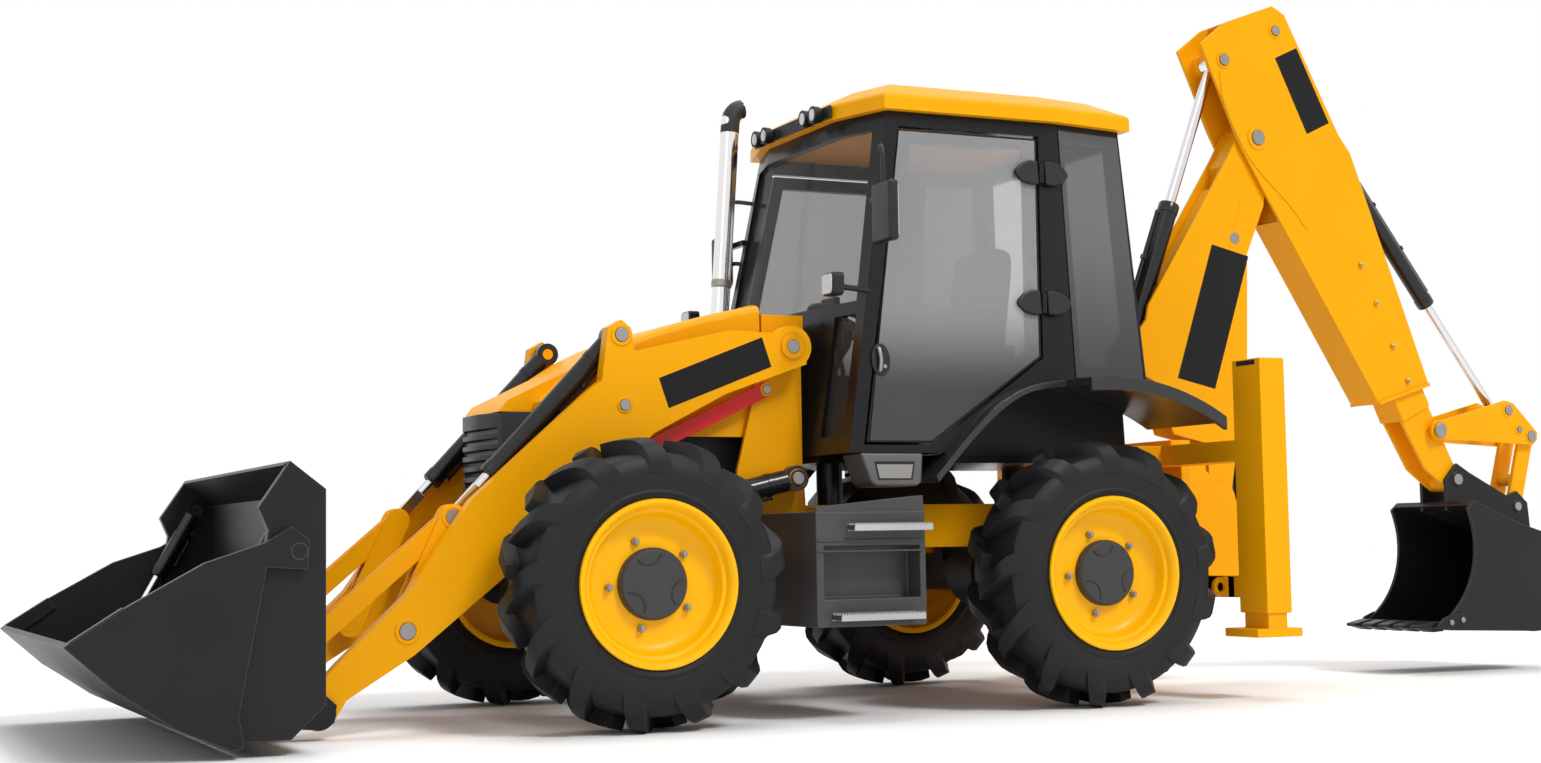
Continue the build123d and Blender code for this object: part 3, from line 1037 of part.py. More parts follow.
# Rear frame: two cross rails, uprights to the chassis and the legs' outer tubes
with BuildPart() as rear_frame:
    for low, high in (UPPER_RAIL, LOWER_RAIL):
        block((FRAME_REAR_X, FRAME_FRONT_X), (-FRAME_HALF_WIDTH, FRAME_HALF_WIDTH), (low, high))
    for side in (1, -1):
        upright = sorted((side * RAIL_INNER_Y, side * RAIL_OUTER_Y))
        block((FRAME_FRONT_X, RAIL_REAR_X), upright, (LOWER_RAIL[0], UPPER_RAIL[1]))
        lug = sorted((side * TIE_LUG_Y[0], side * TIE_LUG_Y[1]))
        ends = sorted((FRAME_FRONT_X - 2 * WELD, TIE_LUG[0]))
        block(ends, lug, (TIE_LUG[1] - TIE_LUG_OUTER, TIE_LUG[1] + TIE_LUG_OUTER))
        disc(TIE_LUG, TIE_LUG_OUTER, *lug)
        disc(TIE_LUG, TIE_LUG_RADIUS, *lug, Mode.SUBTRACT)
        tube = sorted((side * LEG_Y[0], side * LEG_Y[1]))
        hollow = sorted((side * (LEG_Y[0] + LEG_WALL), side * (LEG_Y[1] - LEG_WALL)))
        block(LEG_X, tube, LEG_Z)
        block((LEG_X[0] + LEG_WALL, LEG_X[1] - LEG_WALL), hollow, (LEG_Z[0], LEG_Z[1] - LEG_WALL),
              Mode.SUBTRACT)
keep(rear_frame.part, "rear_frame")

LEG_SLACK = LEG_WALL + RUNNING_GAP
for side, hand in ((1, "left"), (-1, "right")):
    inner = sorted((side * (LEG_Y[0] + LEG_SLACK), side * (LEG_Y[1] - LEG_SLACK)))
    sole = sorted((side * (LEG_Y[0] - FOOT_INBOARD), side * LEG_Y[1]))
    with BuildPart() as stabiliser_leg:
        block((LEG_X[0] + LEG_SLACK, LEG_X[1] - LEG_SLACK), inner,
              (FOOT_Z[1] - WELD, LEG_Z[1] - LEG_HEAD_ROOM))
        block((LEG_X[0] - FOOT_SPREAD, LEG_X[1] + FOOT_SPREAD), sole, FOOT_Z)
    keep(stabiliser_leg.part, f"stabiliser_leg_{hand}")

# Carriage that shifts sideways on the rails, with the slew ears
CARRIAGE_HALF_WIDTH = 330.0
CARRIAGE_X = (FRAME_REAR_X - 60, FRAME_REAR_X - RUNNING_GAP)
EAR_UPPER = (1150.0, 1200.0)
EAR_LOWER = (480.0, 530.0)
with BuildPart() as carriage:
    across = (-CARRIAGE_HALF_WIDTH, CARRIAGE_HALF_WIDTH)
    block(CARRIAGE_X, across, (LOWER_RAIL[0] - 40, UPPER_RAIL[1] + 35))
    block((CARRIAGE_X[0], FRAME_REAR_X + 60), across, (UPPER_RAIL[1] + RUNNING_GAP, UPPER_RAIL[1] + 35))
    block((CARRIAGE_X[0], FRAME_REAR_X + 60), across, (LOWER_RAIL[0] - 40, LOWER_RAIL[0] - RUNNING_GAP))
    for low, high in (EAR_UPPER, EAR_LOWER):
        block((SLEW_X, CARRIAGE_X[0] + WELD), (-SLEW_EAR_RADIUS, SLEW_EAR_RADIUS), (low, high))
        post(SLEW_X, 0, SLEW_EAR_RADIUS, low, high)
        post(SLEW_X, 0, SLEW_PIN_RADIUS + PIN_CLEARANCE, low, high, Mode.SUBTRACT)
keep(carriage.part, "carriage")

# Kingpost: slewing post with ears for the boom and its ram
KING_EAR = 92.0
KING_PLATE = ((SLEW_X - 90, 1110), (-1330, 1040), (-1440, 960), (-1690, 640), (-1640, 560), (-1560, 545),
              (SLEW_X - 90, 550))
with BuildPart() as kingpost:
    post(SLEW_X, 0, SLEW_POST_RADIUS, EAR_LOWER[1] + RUNNING_GAP, EAR_UPPER[0] - RUNNING_GAP)
    post(SLEW_X, 0, SLEW_PIN_RADIUS, EAR_LOWER[0] - PIN_CAP_THICKNESS, EAR_UPPER[1] + PIN_CAP_THICKNESS)
    outer = KING_EAR + KING_CHEEK
    block((SLEW_X - KING_BACK, SLEW_X), (-outer, outer), (EAR_LOWER[1] + 4 * WELD, EAR_UPPER[0] - 4 * WELD))
    for side in (1, -1):
        cheek = sorted((side * KING_EAR, side * outer))
        plate(KING_PLATE, *cheek)
        disc(BOOM_PIVOT, BOOM_EAR_BOSS, *cheek)
        collar = sorted((side * (BOOM_RAM_EYE_WIDTH / 2 + RUNNING_GAP), side * KING_EAR))
        disc(BOOM_RAM_BASE, BOOM_RAM_EYE * COLLAR_SHARE, *collar)
    disc(BOOM_PIVOT, BOOM_PIN_RADIUS, -outer, outer)
    disc(BOOM_RAM_BASE, BOOM_RAM_PIN_RADIUS, -outer, outer)
keep(kingpost.part, "kingpost")

# Boom: two side plates joined by a front plate and cross tubes
BOOM = ((-1295, 905), (-1312, 1240), (-1090, 1290), (-985, 1560), (-800, 1640), (-790, 1720), (-850, 1770),
        (-940, 1880), (-957, 1957), (-1490, 2760), (-1580, 2910), (-1640, 2950), (-1740, 2930), (-1775, 2830),
        (-1718, 2510), (-1600, 2250), (-1577, 1679), (-1450, 1000), (-1420, 880))
BOOM_WEBS = (
    ((-1075, 2080), (-1420, 2600), (-1440, 2585), (-1095, 2065)),
    ((-1480, 2720), (-1600, 2900), (-1660, 2680), (-1620, 2580), (-1500, 2620)),
)
with BuildPart() as boom:
    for side in (1, -1):
        cheek = sorted((side * BOOM_INNER_Y, side * BOOM_OUTER_Y))
        plate(BOOM, *cheek)
        disc(BOOM_PIVOT, BOOM_BOSS, *cheek)
        disc(DIPPER_PIVOT, DIPPER_BOSS, *cheek)
    gap = (-BOOM_INNER_Y - WELD, BOOM_INNER_Y + WELD)
    for web in BOOM_WEBS:
        plate(web, *gap)
    disc(BOOM_PIVOT, BOOM_TUBE, *gap)
    disc(DIPPER_PIVOT, DIPPER_TUBE, *gap)
    disc(BOOM_PIVOT, BOOM_PIN_RADIUS + PIN_CLEARANCE, -BOOM_OUTER_Y, BOOM_OUTER_Y, Mode.SUBTRACT)
    disc(DIPPER_PIVOT, DIPPER_PIN_RADIUS + PIN_CLEARANCE, -BOOM_OUTER_Y, BOOM_OUTER_Y, Mode.SUBTRACT)
    disc(DIPPER_RAM_BASE, DIPPER_RAM_PIN_RADIUS, -BOOM_OUTER_Y, BOOM_OUTER_Y)
    for side in (1, -1):
        collar = sorted((side * (DIPPER_RAM_EYE_WIDTH / 2 + RUNNING_GAP), side * BOOM_OUTER_Y))
        disc(DIPPER_RAM_BASE, DIPPER_RAM_EYE * COLLAR_SHARE, *collar)
        boss = sorted((side * (BOOM_RAM_EYE_WIDTH / 2 + RUNNING_GAP), side * BOOM_INNER_Y))
        disc(BOOM_RAM_PIN, BOOM_RAM_BOSS, *boss)
keep(boom.part, "boom")

with BuildPart() as boom_ram_barrel:
    barrel(BOOM_RAM_BASE, BOOM_RAM_PIN, 0, BOOM_RAM_BORE, BOOM_RAM_ROD, BOOM_RAM_BARREL, BOOM_RAM_EYE,
           BOOM_RAM_EYE_WIDTH, BOOM_RAM_PIN_RADIUS)
keep(boom_ram_barrel.part, "boom_ram_barrel")
with BuildPart() as boom_ram_rod:
    rod(BOOM_RAM_BASE, BOOM_RAM_PIN, 0, BOOM_RAM_ROD, BOOM_RAM_ROD_START, BOOM_RAM_ROD_EYE, BOOM_RAM_EYE_WIDTH)
keep(boom_ram_rod.part, "boom_ram_rod")

# Dipper: a hollow outer box, forked over the boom's tip and open at its foot
DIPPER = ((-1321, 3355), (-1480, 3480), (-1800, 3600), (-1880, 3560), (-2223, 2927), (-2300, 2830),
          (-2793, 1568), (-2435, 1459), (-1714, 2574), (-1560, 2820))


def slide(along_axis, to_rear):
    """A point given along the inner dipper's travel and away from it to the rear."""
    angle = math.radians(SLIDE_ANGLE)
    ux = math.cos(angle)
    uz = math.sin(angle)
    return (SLIDE_POINT[0] + ux * along_axis + uz * to_rear, SLIDE_POINT[1] + uz * along_axis - ux * to_rear)


INNER_FRONT = -150.0
INNER_REAR = 60.0
INNER_HALF_WIDTH = DIPPER_INNER_Y - RUNNING_GAP
with BuildPart() as dipper:
    plate(DIPPER, -DIPPER_OUTER_Y, DIPPER_OUTER_Y)
    plate((slide(300, INNER_FRONT - 5), slide(300, INNER_REAR + 5), slide(-1420, INNER_REAR + 5),
           slide(-1420, INNER_FRONT - 5)), -DIPPER_INNER_Y, DIPPER_INNER_Y, Mode.SUBTRACT)
    plate((slide(300, 0), slide(300, 300), slide(-1460, 300), slide(-1460, 0)), -66, 66, Mode.SUBTRACT)
    plate(((-1300, 3420), (-1500, 3540), (-1720, 3200), (-1900, 2960), (-1880, 2720), (-1830, 2440),
           (-1740, 2420), (-1300, 2700)),
          -DIPPER_INNER_Y, DIPPER_INNER_Y, Mode.SUBTRACT)
    disc(DIPPER_PIVOT, DIPPER_PIN_RADIUS, -DIPPER_OUTER_Y, DIPPER_OUTER_Y)
    for side in (1, -1):
        boss = sorted((side * (DIPPER_RAM_EYE_WIDTH / 2 + RUNNING_GAP), side * DIPPER_OUTER_Y))
        disc(DIPPER_RAM_PIN, DIPPER_RAM_BOSS, *boss)
keep(dipper.part, "dipper")

with BuildPart() as dipper_ram_barrel:
    barrel(DIPPER_RAM_BASE, DIPPER_RAM_PIN, 0, DIPPER_RAM_BORE, DIPPER_RAM_ROD, DIPPER_RAM_BARREL,
           DIPPER_RAM_EYE, DIPPER_RAM_EYE_WIDTH, DIPPER_RAM_PIN_RADIUS)
keep(dipper_ram_barrel.part, "dipper_ram_barrel")
with BuildPart() as dipper_ram_rod:
    rod(DIPPER_RAM_BASE, DIPPER_RAM_PIN, 0, DIPPER_RAM_ROD, DIPPER_RAM_ROD_START, DIPPER_RAM_EYE,
        DIPPER_RAM_EYE_WIDTH)
keep(dipper_ram_rod.part, "dipper_ram_rod")

# Inner dipper: slides out of the outer box and carries the bucket's ram and linkage
with BuildPart() as inner_dipper:
    plate((slide(120, INNER_FRONT), slide(120, INNER_REAR), slide(-1330, INNER_REAR),
           slide(-1330, INNER_FRONT)), -INNER_HALF_WIDTH, INNER_HALF_WIDTH)
    for side in (1, -1):
        cheek = sorted((side * DIPPER_NOSE_Y[0], side * DIPPER_NOSE_Y[1]))
        plate((slide(100, INNER_FRONT), slide(100, INNER_REAR), slide(560, 75), slide(600, -20),
               slide(420, -120)), *cheek)
        ear = sorted((side * (BUCKET_RAM_EYE_WIDTH / 2 + RUNNING_GAP), side * BUCKET_RAM_EAR_Y))
        plate((slide(-1330, 20), slide(-1010, 20), slide(-1180, 160), slide(-1310, 160)), *ear)
        disc(BUCKET_RAM_BASE, BUCKET_RAM_EYE * COLLAR_SHARE, *ear)
    disc(BUCKET_RAM_BASE, BUCKET_RAM_PIN_RADIUS, -BUCKET_RAM_EAR_Y, BUCKET_RAM_EAR_Y)
    disc(BUCKET_LEVER_PIVOT, BUCKET_LEVER_PIN, -BUCKET_LEVER_AXLE_END, BUCKET_LEVER_AXLE_END)
    disc(BUCKET_PIVOT, BUCKET_BOSS, -DIPPER_NOSE_Y[1], DIPPER_NOSE_Y[1])
keep(inner_dipper.part, "inner_dipper")

with BuildPart() as bucket_ram_barrel:
    barrel(BUCKET_RAM_BASE, BUCKET_LEVER_RAM, 0, BUCKET_RAM_BORE, BUCKET_RAM_ROD, BUCKET_RAM_BARREL,
           BUCKET_RAM_EYE, BUCKET_RAM_EYE_WIDTH, BUCKET_RAM_PIN_RADIUS)
keep(bucket_ram_barrel.part, "bucket_ram_barrel")
with BuildPart() as bucket_ram_rod:
    rod(BUCKET_RAM_BASE, BUCKET_LEVER_RAM, 0, BUCKET_RAM_ROD, BUCKET_RAM_ROD_START, BUCKET_RAM_ROD_EYE,
        BUCKET_RAM_ROD_EYE_WIDTH)
keep(bucket_ram_rod.part, "bucket_ram_rod")

BUCKET_LEVER = (
    beyond(BUCKET_LEVER_PIVOT, BUCKET_LEVER_RAM, 0, 45),
    beyond(BUCKET_LEVER_PIVOT, BUCKET_LEVER_RAM, 0, -45),
    (BUCKET_LEVER_RAM[0] + 20, BUCKET_LEVER_RAM[1] + 55),
    (BUCKET_LEVER_RAM[0] - 40, BUCKET_LEVER_RAM[1] + 40),
    (BUCKET_LEVER_LINK[0] - 50, BUCKET_LEVER_LINK[1] + 20),
    (BUCKET_LEVER_LINK[0] - 10, BUCKET_LEVER_LINK[1] - 50),
)
with BuildPart() as bucket_lever:
    for side in (1, -1):
        cheek = sorted((side * BUCKET_LEVER_Y[0], side * BUCKET_LEVER_Y[1]))
        plate(BUCKET_LEVER, *cheek)
        disc(BUCKET_LEVER_PIVOT, BUCKET_LEVER_BOSS, *cheek)
        boss = sorted((side * (BUCKET_RAM_ROD_EYE_WIDTH / 2 + RUNNING_GAP), side * BUCKET_LEVER_Y[0]))
        disc(BUCKET_LEVER_RAM, BUCKET_LEVER_RAM_BOSS, *boss)
    across = (-BUCKET_LEVER_Y[1], BUCKET_LEVER_Y[1])
    disc(BUCKET_LEVER_LINK, BUCKET_LINK_PIN_RADIUS, *across)
    disc(BUCKET_LEVER_PIVOT, BUCKET_LEVER_PIN + PIN_CLEARANCE, *across, Mode.SUBTRACT)
keep(bucket_lever.part, "bucket_lever")

with BuildPart() as bucket_link:
    for side in (1, -1):
        cheek = sorted((side * BUCKET_LINK_Y[0], side * BUCKET_LINK_Y[1]))
        strip(BUCKET_LEVER_LINK, BUCKET_LINK_PIN, BUCKET_LINK_HALF_WIDTH, *cheek)
        disc(BUCKET_LEVER_LINK, BUCKET_LINK_PIN_RADIUS + PIN_CLEARANCE, *cheek, Mode.SUBTRACT)
    span = distance(BUCKET_LEVER_LINK, BUCKET_LINK_PIN)
    bridge = beyond(BUCKET_LEVER_LINK, BUCKET_LINK_PIN, BUCKET_LINK_BRIDGE_SHARE * span)
    disc(bridge, BUCKET_LINK_BRIDGE, -BUCKET_LINK_Y[0] - WELD, BUCKET_LINK_Y[0] + WELD)
keep(bucket_link.part, "bucket_link")

# Digging bucket: a curled skin with side plates, ears and teeth
BUCKET_SIDE = ((-2900, 930), (-3230, 800), (-3500, 725), ((-3605, 660), (BUCKET_BACK_X, 545)),
               ((-3520, 300), (-3250, 215)), (-2700, 235), (-2580, 250), ((-2850, 500), (-2870, 830)))
BUCKET_INSIDE = ((-2860, 910), (-3230, 775), (-3490, 703), ((-3585, 645), (BUCKET_BACK_X + 22, 545)),
                 ((-3502, 316), (-3250, 237)), (-2500, 262))
BUCKET_EAR = ((-2890, 880), (-2890, 1051), (-2974, 1140), (-3060, 1090), (-3330, 960), (-3405, 985),
              (-3480, 920), (-3500, 720), (-3200, 790))
BUCKET_TOOTH = ((-2640, 236), (-2600, 270), (-2490, 262), (-2490, 250), (-2600, 236))
with BuildPart() as digging_bucket:
    contour((-2850, 890), BUCKET_SIDE, -BUCKET_HALF_WIDTH, BUCKET_HALF_WIDTH)
    contour((-2600, 900), BUCKET_INSIDE, -BUCKET_HALF_WIDTH + BUCKET_PLATE, BUCKET_HALF_WIDTH - BUCKET_PLATE,
            Mode.SUBTRACT)
    for side in (1, -1):
        ear = sorted((side * BUCKET_EAR_Y[0], side * BUCKET_EAR_Y[1]))
        plate(BUCKET_EAR, *ear)
        pin = sorted((side * (DIPPER_NOSE_Y[1] + RUNNING_GAP), side * BUCKET_EAR_Y[1]))
        disc(BUCKET_PIVOT, BUCKET_PIN_RADIUS, *pin)
    for y in BUCKET_TEETH_Y:
        plate(BUCKET_TOOTH, y - BUCKET_TOOTH_HALF_WIDTH, y + BUCKET_TOOTH_HALF_WIDTH)
keep(digging_bucket.part, "digging_bucket")
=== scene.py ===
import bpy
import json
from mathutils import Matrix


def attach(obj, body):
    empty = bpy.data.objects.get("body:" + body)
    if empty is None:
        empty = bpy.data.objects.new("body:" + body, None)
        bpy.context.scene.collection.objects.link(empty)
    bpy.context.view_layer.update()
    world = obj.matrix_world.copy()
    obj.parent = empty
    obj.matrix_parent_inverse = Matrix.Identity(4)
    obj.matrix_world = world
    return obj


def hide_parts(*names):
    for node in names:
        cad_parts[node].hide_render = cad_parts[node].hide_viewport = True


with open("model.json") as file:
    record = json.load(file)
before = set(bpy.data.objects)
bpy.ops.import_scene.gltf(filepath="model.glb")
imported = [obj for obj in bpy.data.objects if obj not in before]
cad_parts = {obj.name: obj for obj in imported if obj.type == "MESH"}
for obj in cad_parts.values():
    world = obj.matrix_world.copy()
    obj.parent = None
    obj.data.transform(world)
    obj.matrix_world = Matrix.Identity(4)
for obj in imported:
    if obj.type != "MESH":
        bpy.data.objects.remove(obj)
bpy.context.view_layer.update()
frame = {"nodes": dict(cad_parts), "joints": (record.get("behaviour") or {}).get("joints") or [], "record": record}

import json
import math

import bmesh
import bpy
from mathutils import Matrix, Vector

# Places: the machine's own millimetres, x forward from the rear axle, y to the left, z up
ORIGIN_X = 440
PIN = {joint["name"]: Vector(joint["pos_m"]) for joint in frame["joints"] if joint.get("pos_m")}
CORNERS = ("front_left", "front_right", "rear_left", "rear_right")
UP = Vector((0, 0, 1))
ACROSS = Vector((0, 1, 0))
AHEAD = Vector((1, 0, 0))
HANDS = (("left", 1), ("right", -1))


def at(x, y, z):
    """A point of the machine in the scene's metres."""
    return Vector(((x - ORIGIN_X) / 1000, y / 1000, z / 1000))


# Materials
def shader(name, colour, roughness, metallic=0.0, coat=0.0, mottle=0.05, mottle_scale=2.2,
           grain=0.0, grain_scale=220.0, spread=0.05, specular=0.5):
    """A procedural finish: mottled colour, uneven roughness and a fine surface grain."""
    material = bpy.data.materials.new(name)
    material.use_nodes = True
    nodes = material.node_tree.nodes
    links = material.node_tree.links
    surface = nodes["Principled BSDF"]
    surface.inputs["Metallic"].default_value = metallic
    surface.inputs["Coat Weight"].default_value = coat
    surface.inputs["Coat Roughness"].default_value = 0.08
    surface.inputs["Specular IOR Level"].default_value = specular
    place = nodes.new("ShaderNodeTexCoord")
    cloud = nodes.new("ShaderNodeTexNoise")
    cloud.inputs["Scale"].default_value = mottle_scale
    cloud.inputs["Detail"].default_value = 6.0
    links.new(place.outputs["Object"], cloud.inputs["Vector"])
    tint = nodes.new("ShaderNodeValToRGB")
    tint.color_ramp.elements[0].position = 0.3
    tint.color_ramp.elements[1].position = 0.7
    tint.color_ramp.elements[0].color = (*[c * (1 - mottle) for c in colour], 1)
    tint.color_ramp.elements[1].color = (*[min(1.0, c * (1 + mottle)) for c in colour], 1)
    links.new(cloud.outputs["Fac"], tint.inputs["Fac"])
    links.new(tint.outputs["Color"], surface.inputs["Base Color"])
    gloss = nodes.new("ShaderNodeMapRange")
    gloss.inputs["To Min"].default_value = max(0.02, roughness - spread)
    gloss.inputs["To Max"].default_value = roughness + spread
    links.new(cloud.outputs["Fac"], gloss.inputs["Value"])
    links.new(gloss.outputs["Result"], surface.inputs["Roughness"])
    if grain:
        speckle = nodes.new("ShaderNodeTexNoise")
        speckle.inputs["Scale"].default_value = grain_scale
        speckle.inputs["Detail"].default_value = 3.0
        links.new(place.outputs["Object"], speckle.inputs["Vector"])
        bump = nodes.new("ShaderNodeBump")
        bump.inputs["Strength"].default_value = grain
        bump.inputs["Distance"].default_value = 0.001
        links.new(speckle.outputs["Fac"], bump.inputs["Height"])
        links.new(bump.outputs["Normal"], surface.inputs["Normal"])
    return material


# Sockets of a mix node that mixes colours
MIX_FACTOR, MIX_FIRST, MIX_SECOND, MIX_RESULT = 0, 6, 7, 2


def worn(material, bare, reach):
    """Lets bare metal show along a finish's edges."""
    nodes = material.node_tree.nodes
    links = material.node_tree.links
    surface = nodes["Principled BSDF"]
    painted = surface.inputs["Base Color"].links[0].from_socket
    softened = nodes.new("ShaderNodeBevel")
    softened.inputs["Radius"].default_value = reach
    plain = nodes.new("ShaderNodeNewGeometry")
    likeness = nodes.new("ShaderNodeVectorMath")
    likeness.operation = "DOT_PRODUCT"
    links.new(softened.outputs["Normal"], likeness.inputs[0])
    links.new(plain.outputs["Normal"], likeness.inputs[1])
    edge = nodes.new("ShaderNodeMapRange")
    edge.inputs["From Min"].default_value = 0.99
    edge.inputs["From Max"].default_value = 0.86
    links.new(likeness.outputs["Value"], edge.inputs["Value"])
    blend = nodes.new("ShaderNodeMix")
    blend.data_type = "RGBA"
    blend.inputs[MIX_SECOND].default_value = (*bare, 1)
    links.new(edge.outputs["Result"], blend.inputs[MIX_FACTOR])
    links.new(painted, blend.inputs[MIX_FIRST])
    links.new(blend.outputs[MIX_RESULT], surface.inputs["Base Color"])
    return material


def clear_glass(name, colour, density):
    """Evenly smoked glass."""
    material = shader(name, colour, 0.05, mottle=0.02, spread=0.02)
    material.node_tree.nodes["Principled BSDF"].inputs["Alpha"].default_value = density
    material.surface_render_method = "BLENDED"
    return material


def shade_graded_glass(name, upper, shade_tint, upper_density, shade_density, low, high):
    """Glass with painted shade: a dark, dense lower tint that turns into an upper tint between two heights."""
    material = clear_glass(name, upper, upper_density)
    nodes = material.node_tree.nodes
    links = material.node_tree.links
    surface = nodes["Principled BSDF"]
    place = nodes.new("ShaderNodeTexCoord")
    split = nodes.new("ShaderNodeSeparateXYZ")
    links.new(place.outputs["Object"], split.inputs["Vector"])
    share = nodes.new("ShaderNodeMapRange")
    share.interpolation_type = "SMOOTHSTEP"
    share.inputs["From Min"].default_value = low
    share.inputs["From Max"].default_value = high
    links.new(split.outputs["Z"], share.inputs["Value"])
    tint = nodes.new("ShaderNodeValToRGB")
    tint.color_ramp.elements[0].color = (*shade_tint, 1)
    tint.color_ramp.elements[1].color = (*upper, 1)
    links.new(share.outputs["Result"], tint.inputs["Fac"])
    links.new(tint.outputs["Color"], surface.inputs["Base Color"])
    density = nodes.new("ShaderNodeMapRange")
    density.inputs["To Min"].default_value = shade_density
    density.inputs["To Max"].default_value = upper_density
    links.new(share.outputs["Result"], density.inputs["Value"])
    links.new(density.outputs["Result"], surface.inputs["Alpha"])
    return material


MATERIAL = {
    "body_paint": shader("yellow paint", (0.92, 0.40, 0.001), 0.38, mottle=0.03, grain=0.05, grain_scale=90,
                         specular=0.12),
    "rim_paint": shader("rim paint", (0.94, 0.48, 0.001), 0.32, mottle=0.03, grain=0.05, specular=0.2),
    "cab_paint": shader("black cab paint", (0.010, 0.010, 0.011), 0.28, mottle=0.1, specular=0.2),
    "dark_paint": worn(shader("charcoal paint", (0.012, 0.012, 0.013), 0.40, mottle=0.15, grain=0.12,
                              specular=0.22), (0.10, 0.10, 0.105), 0.005),
    "axle_paint": shader("cast iron paint", (0.022, 0.022, 0.023), 0.5, mottle=0.2, grain=0.35,
                         grain_scale=120, specular=0.25),
    "dark_plastic": shader("grained plastic", (0.016, 0.016, 0.017), 0.36, mottle=0.08, grain=0.2,
                           grain_scale=420, specular=0.3),
    "cab_glass": clear_glass("smoked glass", (0.16, 0.17, 0.175), 0.12),
    # Door glass: painted shade low down and a pale grey painted reflection higher up
    "door_pane": shade_graded_glass("door glass with painted shade", (0.46, 0.46, 0.47), (0.045, 0.045, 0.046), 0.40, 0.92,
                              1.42, 1.95),
    # Quarter glass: painted shade low down under a dark smoked upper tint
    "quarter_pane": shade_graded_glass("quarter glass with painted shade", (0.11, 0.11, 0.115), (0.045, 0.045, 0.046), 0.66, 0.85,
                                 1.45, 2.3),
    "tyre_rubber": shader("tyre rubber", (0.012, 0.012, 0.0125), 0.48, mottle=0.18, grain=0.22,
                          grain_scale=160, spread=0.1, specular=0.22),
    "ram_paint": shader("black ram paint", (0.009, 0.009, 0.010), 0.20, mottle=0.08, specular=0.4),
    "rod_chrome": shader("hard chrome", (0.72, 0.72, 0.74), 0.14, metallic=1.0, mottle=0.03, spread=0.04),
    "exhaust_chrome": shader("bright chrome", (0.82, 0.81, 0.80), 0.12, metallic=1.0, mottle=0.04,
                             spread=0.04),
    "strut_paint": shader("red paint", (0.74, 0.008, 0.010), 0.22, mottle=0.05, specular=0.35),
    "seat_cover": shader("woven cover", (0.020, 0.020, 0.022), 0.85, mottle=0.15, grain=0.6,
                         grain_scale=600, specular=0.2),
    "lamp_lens": shader("lamp lens", (0.62, 0.64, 0.66), 0.10, coat=0.6, mottle=0.10, mottle_scale=60),
    "bare_steel": shader("bare steel", (0.30, 0.29, 0.28), 0.36, metallic=0.85, mottle=0.12, grain=0.1),
    "hub_grey": shader("hub paint", (0.042, 0.042, 0.043), 0.44, mottle=0.10, grain=0.15, specular=0.3),
    "tread_metal": shader("tread metal", (0.46, 0.46, 0.46), 0.42, metallic=0.6, mottle=0.1, grain=0.2),
    "step_paint": shader("grey step paint", (0.058, 0.058, 0.059), 0.40, mottle=0.08, grain=0.1,
                         specular=0.3),
    "sill_grey": shader("silver grey paint", (0.12, 0.12, 0.122), 0.34, mottle=0.06, grain=0.1,
                        specular=0.4),
    "decal_black": shader("black decal film", (0.010, 0.010, 0.0105), 0.42, mottle=0.06, grain=0.05,
                          specular=0.15),
    "brass": shader("yellow zinc plating", (0.62, 0.45, 0.16), 0.34, metallic=1.0, mottle=0.12),
    "mirror_glass": shader("mirror glass", (0.78, 0.80, 0.82), 0.04, metallic=1.0, mottle=0.02,
                           spread=0.02),
    # Black for the exhaust tip's real soot, and painted shade in the hub notches and leg slots
    "soot_and_painted_shade": shader("sooty steel and painted shade", (0.010, 0.010, 0.010), 0.55, mottle=0.2, grain=0.2),
    "fender_plastic": shader("glossy fender plastic", (0.018, 0.018, 0.019), 0.26, mottle=0.08, grain=0.06,
                             grain_scale=300, specular=0.5),
    "screen": shader("display glass", (0.020, 0.023, 0.028), 0.12, coat=0.6, mottle=0.05),
}


# Mesh building
def lathe(mesh, profile, centre, segments, axis=ACROSS, closed=False):
    """A profile of (radius, distance along the axis) turned about an axis through a centre."""
    turn = UP.rotation_difference(axis.normalized()).to_matrix()
    rings = []
    for step in range(segments):
        angle = 2 * math.pi * step / segments
        sine, cosine = math.sin(angle), math.cos(angle)
        ring = [Vector((r * cosine, r * sine, w)) for r, w in profile]
        rings.append([mesh.verts.new(centre + turn @ point) for point in ring])
    count = len(profile) if closed else len(profile) - 1
    for step in range(segments):
        here, there = rings[step], rings[(step + 1) % segments]
        for k in range(count):
            after = (k + 1) % len(profile)
            mesh.faces.new((here[k], there[k], there[after], here[after]))
    if not closed:
        for k in (0, -1):
            mesh.faces.new([ring[k] for ring in rings])


def plane(origin, u, v):
    """A local frame: u and v lie in the plane, w stands on it."""
    u = u.normalized()
    w = u.cross(v).normalized()
    v = w.cross(u)
    return Matrix.Translation(origin) @ Matrix((u, v, w)).transposed().to_4x4()


def oblong(u, v):
    """The outline of a rectangle with two half sides."""
    return ((-u, -v), (u, -v), (u, v), (-u, v))


def shell(mesh, near, far):
    """Closes two outlines with as many points into a solid."""
    near = [mesh.verts.new(point) for point in near]
    far = [mesh.verts.new(point) for point in far]
    mesh.faces.new(near)
    mesh.faces.new(far[::-1])
    for k in range(len(near)):
        after = (k + 1) % len(near)
        mesh.faces.new((near[k], far[k], far[after], near[after]))


def slab(mesh, place, outline, low, high):
    """An outline of (u, v) points in a local frame, from w low to w high."""
    near, far = ([place @ Vector((u, v, w)) for u, v in outline] for w in (low, high))
    shell(mesh, near, far)


def prism(mesh, outline, y0, y1):
    """A side outline of machine (x, z) points, from y0 to y1."""
    near, far = ([at(x, y, z) for x, z in outline] for y in (y0, y1))
    shell(mesh, near, far)


def both(mesh, outline, inner, outer):
    """A side outline on the left and the right, between two distances from the machine's middle."""
    for side in (1, -1):
        prism(mesh, outline, side * inner, side * outer)


